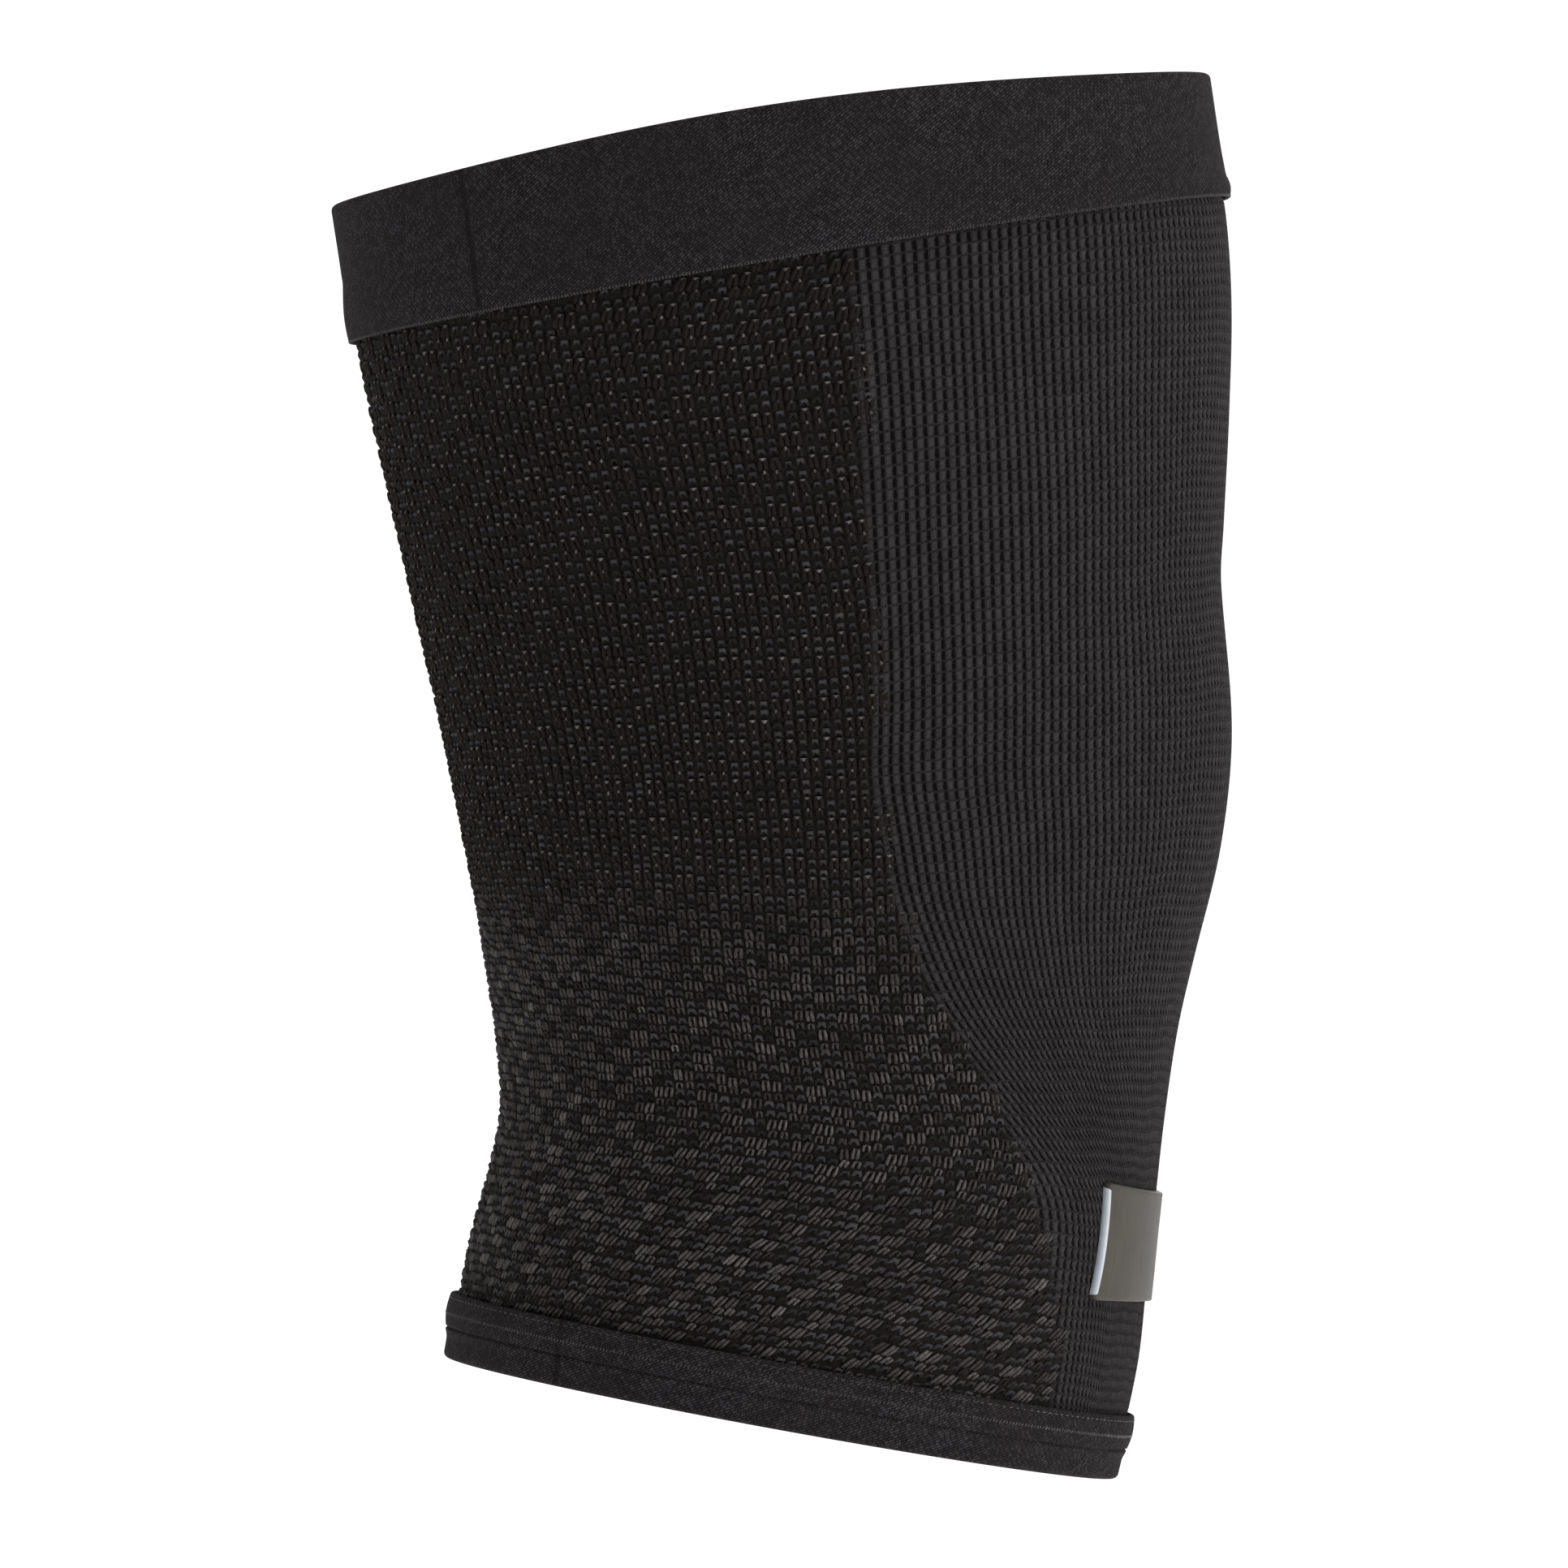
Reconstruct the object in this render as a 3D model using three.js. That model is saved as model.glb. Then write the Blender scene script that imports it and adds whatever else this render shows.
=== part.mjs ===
// A knitted knee sleeve in the shape that a bent leg gives it: one knitted tube, a wide elastic band
// sewn over its thigh end, a narrow one over its shin end, and a rubber tag on the front of the shin.
// Millimetres, +Z up, +X to the front of the knee. The origin is the middle of the leg at the kneecap.

import * as THREE from 'three';

// The leg's middle line, in side view
const sleeveLength = 216;     // along the line, from the lower rim to the upper rim
const kneecapHeight = 112;    // along the line, from the lower rim to the origin
const thighLean = 8.6;        // degrees that the thigh leans back from upright
const shinLean = 10.3;        // degrees that the foot end of the shin is set back
const bendMiddle = 95;        // along the line, where the knee bends most
const bendReach = 70;         // along the line, from there to each straight stretch

// The outer face of the knit at the thigh end, from the middle line
const frontReach = 73;
const backReach = 74.3;
const sideReach = 69;

// Walls
const knitWall = 2;
const bandWall = 1;           // one layer of the elastic
const bandBulge = 0.3;        // where the elastic is stretched over the knit's edge
const bandInset = 1.1;        // the doubled elastic beyond the knit, inwards of the knit's outer face
const clearance = 0.3;        // between pieces that touch

// Thigh band: it is higher behind than in front, and its rim rises at the sides of the thigh
const thighBandFront = 21.1;
const thighBandBack = 23.3;
const thighRimArch = 3;
const thighLapFront = 3.7;    // how far it laps over the knit
const thighLapBack = 9.8;

// Shin band
const shinBandHeight = 11;
const shinLap = 5.6;

// Tag
const tagWidth = 64;          // along the curve of the shin
const tagHeight = 18.8;
const tagMiddle = 38.7;       // along the middle line, from the lower rim
const tagWall = 0.8;
const tagCorner = 2.4;
const tagBevel = 0.3;

// Facets
const around = 48;
const knitRows = 34;
const tagColumns = 16;
const tagCornerColumns = 3;
const tagRows = 4;
const lineSteps = 40;

// Sections of the leg from the lower rim up. at is a share of sleeveLength, and the other columns are
// shares of frontReach, backReach and sideReach. The hollow of the knee is at 0.2 behind, the narrow
// below the kneecap at 0.27 in front, and the crease above the kneecap at 0.62.
const sections = [
  { at: 0.00, front: 0.775, back: 0.762, side: 0.779 },
  { at: 0.09, front: 0.785, back: 0.764, side: 0.790 },
  { at: 0.15, front: 0.773, back: 0.750, side: 0.797 },
  { at: 0.20, front: 0.762, back: 0.747, side: 0.797 },
  { at: 0.27, front: 0.753, back: 0.786, side: 0.797 },
  { at: 0.33, front: 0.760, back: 0.825, side: 0.804 },
  { at: 0.38, front: 0.786, back: 0.852, side: 0.819 },
  { at: 0.45, front: 0.837, back: 0.887, side: 0.848 },
  { at: 0.52, front: 0.867, back: 0.915, side: 0.870 },
  { at: 0.62, front: 0.870, back: 0.946, side: 0.899 },
  { at: 0.66, front: 0.892, back: 0.956, side: 0.910 },
  { at: 0.74, front: 0.941, back: 0.973, side: 0.935 },
  { at: 0.82, front: 0.982, back: 0.989, side: 0.964 },
  { at: 0.89, front: 1.000, back: 0.999, side: 0.990 },
  { at: 0.94, front: 0.994, back: 0.993, side: 0.992 },
  { at: 1.00, front: 0.994, back: 0.993, side: 0.996 },
];

// The outside of a band, from its sewn edge to its rim. lap is a share of the height that laps over the
// knit and free of the height beyond it, wall is a share of bandWall and bulge of bandBulge.
const bandOutside = [
  { lap: 0.00, free: 0.00, wall: 0.65, bulge: 0.0 },
  { lap: 0.14, free: 0.00, wall: 1.00, bulge: 0.4 },
  { lap: 0.50, free: 0.00, wall: 1.00, bulge: 1.0 },
  { lap: 0.86, free: 0.00, wall: 1.00, bulge: 0.4 },
  { lap: 1.00, free: 0.12, wall: 0.75, bulge: 0.0 },
  { lap: 1.00, free: 0.55, wall: 1.00, bulge: 0.0 },
  { lap: 1.00, free: 0.94, wall: 1.00, bulge: 0.0 },
  { lap: 1.00, free: 1.00, wall: 0.65, bulge: 0.0 },
];

// Reads a column of the section table at a share of the sleeve's length, along a smooth curve through
// its rows. Past the ends it keeps the end value.
function sectionShare(column, at) {
  const place = THREE.MathUtils.clamp(at, 0, 1);
  const last = sections.length - 1;
  let low = 0;
  while (low < last - 1 && sections[low + 1].at <= place) {
    low += 1;
  }
  const slope = (row) => {
    const before = sections[Math.max(row - 1, 0)];
    const after = sections[Math.min(row + 1, last)];
    return (after[column] - before[column]) / (after.at - before.at);
  };
  const step = sections[low + 1].at - sections[low].at;
  const t = (place - sections[low].at) / step;
  const rise = sections[low + 1][column] - sections[low][column];
  const startBow = slope(low) * step - rise;
  const endBow = slope(low + 1) * step - rise;
  return sections[low][column] + t * rise + t * (1 - t) * ((1 - t) * startBow - t * endBow);
}

// The lean of the middle line, in radians, turning smoothly from the shin's to the thigh's
function leanAt(along) {
  const turn = THREE.MathUtils.smoothstep(along, bendMiddle - bendReach, bendMiddle + bendReach);
  return THREE.MathUtils.degToRad(thighLean * turn - shinLean * (1 - turn));
}

// A point of the middle line: the line's direction added up from the kneecap in equal steps
function middlePoint(along) {
  const step = (along - kneecapHeight) / lineSteps;
  const point = new THREE.Vector3();
  for (let count = 0; count < lineSteps; count += 1) {
    const lean = leanAt(kneecapHeight + (count + 0.5) * step);
    point.x -= step * Math.sin(lean);
    point.z += step * Math.cos(lean);
  }
  return point;
}

// From the middle line to the knit's outer face: two half ellipses, one in front and one behind
function reachAt(along, angle) {
  const at = along / sleeveLength;
  const ahead = Math.cos(angle) > 0;
  const depth = ahead ? frontReach * sectionShare('front', at) : backReach * sectionShare('back', at);
  const width = sideReach * sectionShare('side', at);
  return 1 / Math.hypot(Math.cos(angle) / depth, Math.sin(angle) / width);
}

// A point that stands proud of the knit's outer face, square to the middle line
function skinPoint(along, angle, proud) {
  const point = middlePoint(along);
  const lean = leanAt(along);
  const reach = reachAt(along, angle) + proud;
  point.x += reach * Math.cos(angle) * Math.cos(lean);
  point.y += reach * Math.sin(angle);
  point.z += reach * Math.cos(angle) * Math.sin(lean);
  return point;
}

function meshFrom(name, points, faces, material) {
  const geometry = new THREE.BufferGeometry();
  geometry.setFromPoints(points);
  geometry.setIndex(faces);
  geometry.computeVertexNormals();
  const mesh = new THREE.Mesh(geometry, material);
  mesh.name = name;
  return mesh;
}

// A wall that goes all the way round the leg. loop is its cut: it runs up the outside and down the
// inside, and gives each corner's place along the leg and its height over the knit at an angle.
function ringWall(name, loop, material) {
  const points = [];
  const faces = [];
  const corners = loop.length;
  for (let turn = 0; turn < around; turn += 1) {
    const angle = (2 * Math.PI * turn) / around;
    const here = turn * corners;
    const next = ((turn + 1) % around) * corners;
    for (let corner = 0; corner < corners; corner += 1) {
      const { along, proud } = loop[corner](angle);
      points.push(skinPoint(along, angle, proud));
      const above = (corner + 1) % corners;
      faces.push(here + corner, next + corner, next + above);
      faces.push(here + corner, next + above, here + above);
    }
  }
  return meshFrom(name, points, faces, material);
}

// A value that changes evenly from the front of the leg to the back
function frontToBack(front, back, angle) {
  return THREE.MathUtils.lerp(back, front, (1 + Math.cos(angle)) / 2);
}

const thighBand = {
  edge: (angle) => sleeveLength - frontToBack(thighBandFront, thighBandBack, angle),
  lap: (angle) => frontToBack(thighLapFront, thighLapBack, angle),
  rim: (angle) => sleeveLength + thighRimArch * Math.abs(Math.sin(angle)) ** 3,
  up: 1,
};

const shinBand = {
  edge: () => shinBandHeight,
  lap: () => shinLap,
  rim: () => 0,
  up: -1,
};

// Where the knit ends under a band
function knitEnd(band, angle) {
  return band.edge(angle) + band.up * band.lap(angle);
}

function bandCorner(band, row) {
  return (angle) => {
    const end = knitEnd(band, angle);
    const along = band.edge(angle) + row.lap * (end - band.edge(angle)) + row.free * (band.rim(angle) - end);
    return { along, proud: clearance + row.wall * bandWall + row.bulge * bandBulge };
  };
}

// The inside of a band, from its rim back to its sewn edge, stepping out over the knit's end
function bandInside(band) {
  const shoulder = (angle) => knitEnd(band, angle) + band.up * clearance;
  return [
    (angle) => ({ along: band.rim(angle), proud: -bandInset }),
    (angle) => ({ along: (band.rim(angle) + shoulder(angle)) / 2, proud: -bandInset }),
    (angle) => ({ along: shoulder(angle), proud: -bandInset }),
    (angle) => ({ along: shoulder(angle), proud: clearance }),
    (angle) => ({ along: (band.edge(angle) + knitEnd(band, angle)) / 2, proud: clearance }),
    (angle) => ({ along: band.edge(angle), proud: clearance }),
  ];
}

function bandMesh(name, band, material) {
  const loop = [...bandOutside.map((row) => bandCorner(band, row)), ...bandInside(band)];
  return ringWall(name, band.up > 0 ? loop : loop.reverse(), material);
}

function knitMesh(name, material) {
  const row = (share, proud) => (angle) => ({
    along: THREE.MathUtils.lerp(knitEnd(shinBand, angle), knitEnd(thighBand, angle), share),
    proud,
  });
  const shares = Array.from({ length: knitRows + 1 }, (_, count) => count / knitRows);
  const outside = shares.map((share) => row(share, 0));
  const inside = shares.map((share) => row(share, -knitWall)).reverse();
  return ringWall(name, [...outside, ...inside], material);
}

// Places across the tag, from its middle: even steps, and closer ones round its corners
function tagPlaces() {
  const straight = tagWidth / 2 - tagCorner;
  const places = [];
  for (let count = 0; count <= tagColumns; count += 1) {
    places.push(straight * (2 * count / tagColumns - 1));
  }
  for (let count = 1; count <= tagCornerColumns; count += 1) {
    const out = straight + tagCorner * Math.sin((Math.PI / 2) * (count / tagCornerColumns));
    places.push(out);
    places.unshift(-out);
  }
  return places;
}

// Half the tag's height at a place across it, less where its corners are round
function tagHalfHeight(place) {
  const past = Math.max(Math.abs(place) - (tagWidth / 2 - tagCorner), 0);
  return tagHeight / 2 - tagCorner + Math.sqrt(Math.max(tagCorner ** 2 - past ** 2, 0));
}

// One layer of the tag, drawn in by inset all round and standing proud of the knit
function tagLayer(inset, proud) {
  const bow = reachAt(tagMiddle, 0);
  const points = [];
  for (const place of tagPlaces()) {
    const across = place * (1 - (2 * inset) / tagWidth);
    const half = tagHalfHeight(place) - inset;
    for (let row = 0; row <= tagRows; row += 1) {
      const along = tagMiddle + half * (2 * row / tagRows - 1);
      points.push(skinPoint(along, across / bow, proud));
    }
  }
  return points;
}

// A thin plate bent round the shin: a back, a side that ends in a bevel, and a face
function tagMesh(name, material) {
  const top = clearance + tagWall;
  const layers = [tagLayer(0, clearance), tagLayer(0, top - tagBevel), tagLayer(tagBevel, top)];
  const size = layers[0].length;
  const face = 2 * size;
  const column = tagRows + 1;
  const lastColumn = size / column - 1;
  const faces = [];
  for (let across = 0; across < lastColumn; across += 1) {
    for (let row = 0; row < tagRows; row += 1) {
      const a = across * column + row;
      const b = a + column;
      faces.push(a, b + 1, b, a, a + 1, b + 1);
      faces.push(face + a, face + b, face + b + 1, face + a, face + b + 1, face + a + 1);
    }
  }
  const border = [];
  for (let across = 0; across < lastColumn; across += 1) {
    border.push(across * column);
  }
  for (let row = 0; row < tagRows; row += 1) {
    border.push(lastColumn * column + row);
  }
  for (let across = lastColumn; across > 0; across -= 1) {
    border.push(across * column + tagRows);
  }
  for (let row = tagRows; row > 0; row -= 1) {
    border.push(row);
  }
  for (const layer of [0, size]) {
    border.forEach((here, count) => {
      const next = border[(count + 1) % border.length];
      const [a, b] = [layer + here, layer + next];
      faces.push(a, b, b + size, a, b + size, a + size);
    });
  }
  return meshFrom(name, layers.flat(), faces, material);
}

const knit = new THREE.MeshStandardMaterial({ color: 0x201d1c, roughness: 0.95, metalness: 0 });
const elastic = new THREE.MeshStandardMaterial({ color: 0x2a2729, roughness: 0.85, metalness: 0 });
const rubber = new THREE.MeshStandardMaterial({ color: 0x625e57, roughness: 0.45, metalness: 0 });

const kneeSleeve = new THREE.Group();
kneeSleeve.add(knitMesh('knit_body', knit));
kneeSleeve.add(bandMesh('top_band', thighBand, elastic));
kneeSleeve.add(bandMesh('bottom_band', shinBand, elastic));
kneeSleeve.add(tagMesh('front_tag', rubber));

export default kneeSleeve;
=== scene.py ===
"""The looks of a knitted knee sleeve: its stitches, its two elastic bands, their sewing and its tag.

Sizes are millimetres, +Z up and +X to the front of the knee. The origin is the middle of the leg at the
kneecap. A place on the leg is given by its height along the middle line from the lower rim, its angle
round the leg from the front, in radians, and how far it stands proud of the knit's outer face.
"""

import logging
import math
from dataclasses import dataclass, field
from enum import Enum

import bpy
import numpy as np
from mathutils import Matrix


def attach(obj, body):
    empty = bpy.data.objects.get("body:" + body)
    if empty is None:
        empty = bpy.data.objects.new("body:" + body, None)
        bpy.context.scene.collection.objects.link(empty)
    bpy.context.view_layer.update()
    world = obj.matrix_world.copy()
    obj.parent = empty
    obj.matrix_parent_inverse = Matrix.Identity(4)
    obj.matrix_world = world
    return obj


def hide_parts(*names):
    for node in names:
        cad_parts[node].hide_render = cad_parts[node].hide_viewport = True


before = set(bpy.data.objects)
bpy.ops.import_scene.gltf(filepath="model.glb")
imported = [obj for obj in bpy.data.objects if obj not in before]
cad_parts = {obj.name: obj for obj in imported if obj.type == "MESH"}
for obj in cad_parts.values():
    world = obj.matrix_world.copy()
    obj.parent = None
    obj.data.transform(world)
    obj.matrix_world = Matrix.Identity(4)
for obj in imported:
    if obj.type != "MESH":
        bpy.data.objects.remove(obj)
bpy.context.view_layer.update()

MM = 0.001
LOG = logging.getLogger("knee_sleeve")

Colour = tuple[float, float, float]
Span = tuple[float, float]


# The leg


@dataclass(frozen=True)
class Section:
    """A cut of the leg: where it is as a share of the length, and its reach as shares of the full reach."""

    at: float
    front: float
    back: float
    side: float


LEG_SECTIONS = (
    Section(at=0.00, front=0.775, back=0.762, side=0.779),
    Section(at=0.09, front=0.785, back=0.764, side=0.790),
    Section(at=0.15, front=0.773, back=0.750, side=0.797),
    Section(at=0.20, front=0.762, back=0.747, side=0.797),
    Section(at=0.27, front=0.753, back=0.786, side=0.797),
    Section(at=0.33, front=0.760, back=0.825, side=0.804),
    Section(at=0.38, front=0.786, back=0.852, side=0.819),
    Section(at=0.45, front=0.837, back=0.887, side=0.848),
    Section(at=0.52, front=0.867, back=0.915, side=0.870),
    Section(at=0.62, front=0.870, back=0.946, side=0.899),
    Section(at=0.66, front=0.892, back=0.956, side=0.910),
    Section(at=0.74, front=0.941, back=0.973, side=0.935),
    Section(at=0.82, front=0.982, back=0.989, side=0.964),
    Section(at=0.89, front=1.000, back=0.999, side=0.990),
    Section(at=0.94, front=0.994, back=0.993, side=0.992),
    Section(at=1.00, front=0.994, back=0.993, side=0.996),
)


def smooth_step(value: np.ndarray, low: float, high: float) -> np.ndarray:
    """Goes smoothly from 0 at low to 1 at high: 3t² - 2t³, where t is the share of the way.

    Args:
        value: the numbers to place between low and high.
        low: where the result starts to rise.
        high: where it has risen to 1.

    Returns:
        The smooth share of each number.
    """
    share = np.clip((value - low) / (high - low), 0.0, 1.0)
    return share * share * (3.0 - 2.0 * share)


def unit(vectors: np.ndarray) -> np.ndarray:
    """Returns the vectors at length 1."""
    return vectors / np.linalg.norm(vectors, axis=-1, keepdims=True)


@dataclass(frozen=True)
class LegForm:
    """The knit's outer face, as the bent leg shapes it: half an ellipse in front and half behind."""

    length: float = 216.0
    kneecap: float = 112.0
    thigh_lean: float = 8.6
    shin_lean: float = 10.3
    bend_middle: float = 95.0
    bend_reach: float = 70.0
    front_reach: float = 73.0
    back_reach: float = 74.3
    side_reach: float = 69.0
    line_step: float = 0.25
    line_past_ends: float = 20.0
    sections: tuple[Section, ...] = LEG_SECTIONS

    def share(self, column: str, along: np.ndarray) -> np.ndarray:
        """Reads a column of the section table along a smooth curve through its rows.

        Between two rows the value is the straight line plus t(1-t)((1-t)·start bow - t·end bow), where a
        bow is how far the row's slope leads away from that line.

        Args:
            column: the name of the column.
            along: heights along the middle line.

        Returns:
            The share at each height, kept at the end rows past the ends.
        """
        at = np.array([section.at for section in self.sections])
        value = np.array([getattr(section, column) for section in self.sections])
        slope = np.empty_like(value)
        slope[1:-1] = (value[2:] - value[:-2]) / (at[2:] - at[:-2])
        slope[0] = (value[1] - value[0]) / (at[1] - at[0])
        slope[-1] = (value[-1] - value[-2]) / (at[-1] - at[-2])
        place = np.clip(along / self.length, 0.0, 1.0)
        low = np.clip(np.searchsorted(at, place, side="right") - 1, 0, len(at) - 2)
        step = at[low + 1] - at[low]
        t = (place - at[low]) / step
        rise = value[low + 1] - value[low]
        start_bow = slope[low] * step - rise
        end_bow = slope[low + 1] * step - rise
        return value[low] + t * rise + t * (1.0 - t) * ((1.0 - t) * start_bow - t * end_bow)

    def lean(self, along: np.ndarray) -> np.ndarray:
        """Returns the middle line's lean in radians, turning smoothly from the shin's to the thigh's."""
        turn = smooth_step(along, self.bend_middle - self.bend_reach, self.bend_middle + self.bend_reach)
        return np.radians(self.thigh_lean * turn - self.shin_lean * (1.0 - turn))

    def middle(self, along: np.ndarray) -> tuple[np.ndarray, np.ndarray]:
        """Adds up the middle line's direction from the kneecap in small equal steps.

        Args:
            along: heights along the middle line.

        Returns:
            Its X and its Z at each height.
        """
        heights = np.arange(-self.line_past_ends, self.length + self.line_past_ends, self.line_step)
        lean = self.lean(heights[:-1] + self.line_step / 2.0)
        x = np.concatenate([[0.0], np.cumsum(-np.sin(lean) * self.line_step)])
        z = np.concatenate([[0.0], np.cumsum(np.cos(lean) * self.line_step)])
        x_here = np.interp(along, heights, x) - np.interp(self.kneecap, heights, x)
        z_here = np.interp(along, heights, z) - np.interp(self.kneecap, heights, z)
        return x_here, z_here

    def reach(self, along: np.ndarray, angle: np.ndarray) -> np.ndarray:
        """Returns the distance from the middle line to the outer face, on the ellipse of that side."""
        ahead = np.cos(angle) > 0.0
        front = self.front_reach * self.share("front", along)
        back = self.back_reach * self.share("back", along)
        depth = np.where(ahead, front, back)
        width = self.side_reach * self.share("side", along)
        return 1.0 / np.hypot(np.cos(angle) / depth, np.sin(angle) / width)

    def point(self, along: np.ndarray, angle: np.ndarray, proud: np.ndarray) -> np.ndarray:
        """Places points square to the middle line: middle + (reach + proud) times the direction.

        Args:
            along: heights along the middle line.
            angle: angles from the front.
            proud: heights over the knit's outer face.

        Returns:
            The points, with X, Y and Z in the last axis.
        """
        along, angle, proud = np.broadcast_arrays(along, angle, proud)
        x, z = self.middle(along)
        lean = self.lean(along)
        reach = self.reach(along, angle) + proud
        forward = reach * np.cos(angle)
        return np.stack(
            [x + forward * np.cos(lean), reach * np.sin(angle), z + forward * np.sin(lean)], axis=-1
        )

    def outward(self, along: np.ndarray, angle: np.ndarray) -> np.ndarray:
        """Returns the unit direction square to the outer face, from its two tangents."""
        nudge = 1e-3
        around = self.point(along, angle + nudge, 0.0) - self.point(along, angle - nudge, 0.0)
        up = self.point(along + nudge, angle, 0.0) - self.point(along - nudge, angle, 0.0)
        return unit(np.cross(around, up))


# Meshes


@dataclass
class Surface:
    """A mesh in the making: its points, its faces by number of corners, and a UV for each corner."""

    points: np.ndarray
    faces: list[np.ndarray]
    uvs: list[np.ndarray]
    marks: dict[str, np.ndarray] = field(default_factory=dict)
    # Faces that take the second material: on the tag, its end walls, whose pale colour is a painted
    # highlight.
    painted_highlight_faces: np.ndarray | None = None

    def to_piece(self, name: str, finishes: list[bpy.types.Material]) -> bpy.types.Object:
        """Makes the Blender object, with smooth shading, in metres.

        Args:
            name: the piece's name.
            finishes: its materials, the second one for the marked faces, which on the tag is a painted
                highlight.

        Returns:
            The object, linked to the scene at the origin.
        """
        mesh = bpy.data.meshes.new(name)
        corners = np.concatenate([faces.ravel() for faces in self.faces]).astype(np.int32)
        sizes = np.concatenate([np.full(len(faces), faces.shape[1]) for faces in self.faces])
        starts = np.concatenate([[0], np.cumsum(sizes)[:-1]]).astype(np.int32)
        mesh.vertices.add(len(self.points))
        mesh.vertices.foreach_set("co", (self.points * MM).astype(np.float32).ravel())
        mesh.loops.add(len(corners))
        mesh.loops.foreach_set("vertex_index", corners)
        mesh.polygons.add(len(sizes))
        mesh.polygons.foreach_set("loop_start", starts)
        mesh.polygons.foreach_set("use_smooth", np.ones(len(sizes), dtype=bool))
        if self.painted_highlight_faces is not None:
            mesh.polygons.foreach_set("material_index", self.painted_highlight_faces.astype(np.int32))
        layer = mesh.uv_layers.new(name="UVMap")
        uv = np.concatenate([uvs.reshape(-1, 2) for uvs in self.uvs]).astype(np.float32)
        layer.data.foreach_set("uv", uv.ravel())
        for label, values in self.marks.items():
            attribute = mesh.attributes.new(label, "FLOAT", "POINT")
            attribute.data.foreach_set("value", values.astype(np.float32).ravel())
        mesh.update(calc_edges=True)
        for finish in finishes:
            mesh.materials.append(finish)
        piece = bpy.data.objects.new(name, mesh)
        bpy.context.scene.collection.objects.link(piece)
        return piece


def ring_surface(points: np.ndarray, around_uv: np.ndarray, cut_uv: np.ndarray) -> Surface:
    """Joins a grid of points that closes on itself both round the leg and round its cut.

    Args:
        points: the grid, turns by corners by 3. The cut runs up the outside and down the inside.
        around_uv: the first UV value at each turn, with one more for where the turns close.
        cut_uv: the second UV value at each corner of each turn, with one more turn and corner.

    Returns:
        The closed surface, made of quads that face outwards.
    """
    turns, corners = points.shape[:2]
    turn, corner = np.meshgrid(np.arange(turns), np.arange(corners), indexing="ij")
    next_turn = (turn + 1) % turns
    above = (corner + 1) % corners
    quads = np.stack(
        [
            turn * corners + corner,
            next_turn * corners + corner,
            next_turn * corners + above,
            turn * corners + above,
        ],
        axis=-1,
    )
    u = around_uv[np.stack([turn, turn + 1, turn + 1, turn], axis=-1)]
    v_turn = np.stack([turn, turn + 1, turn + 1, turn], axis=-1)
    v = cut_uv[v_turn, np.stack([corner, corner, corner + 1, corner + 1], axis=-1)]
    return Surface(points.reshape(-1, 3), [quads.reshape(-1, 4)], [np.stack([u, v], axis=-1)])


def tube_surface(
    paths: np.ndarray, outward: np.ndarray, radius: np.ndarray, sides: int, marks: dict[str, np.ndarray]
) -> Surface:
    """Carries a round cut along many short paths: centre + radius (cos·side + sin·outward).

    Args:
        paths: the centres, tubes by places by 3.
        outward: a direction at each centre, roughly square to the path.
        radius: the radius at each centre.
        sides: how many sides a tube has.
        marks: named numbers, one for each tube.

    Returns:
        One surface with all the tubes, each closed by a flat end.
    """
    count, places = paths.shape[:2]
    direction = unit(np.gradient(paths, axis=1))
    side = unit(np.cross(direction, outward))
    lift = np.cross(side, direction)
    turn = 2.0 * np.pi * np.arange(sides) / sides
    ring = side[:, :, None] * np.cos(turn)[:, None] + lift[:, :, None] * np.sin(turn)[:, None]
    points = paths[:, :, None] + radius[:, :, None, None] * ring
    tube, place, corner = np.meshgrid(
        np.arange(count), np.arange(places - 1), np.arange(sides), indexing="ij"
    )
    here = (tube * places + place) * sides
    onward = here + sides
    beside = (corner + 1) % sides
    quads = np.stack([here + corner, here + beside, onward + beside, onward + corner], axis=-1)
    u = np.stack([place, place, place + 1, place + 1], axis=-1) / (places - 1)
    v = np.stack([corner, corner + 1, corner + 1, corner], axis=-1) / sides
    first = np.arange(count)[:, None] * places * sides + np.arange(sides)[::-1]
    last = np.arange(count)[:, None] * places * sides + (places - 1) * sides + np.arange(sides)
    ends = np.concatenate([first, last])
    end_uv = np.zeros((len(ends), sides, 2))
    end_uv[count:, :, 0] = 1.0
    return Surface(
        points.reshape(-1, 3),
        [quads.reshape(-1, 4), ends],
        [np.stack([u, v], axis=-1), end_uv],
        marks={name: np.repeat(values, places * sides) for name, values in marks.items()},
    )


# Finishes


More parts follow.
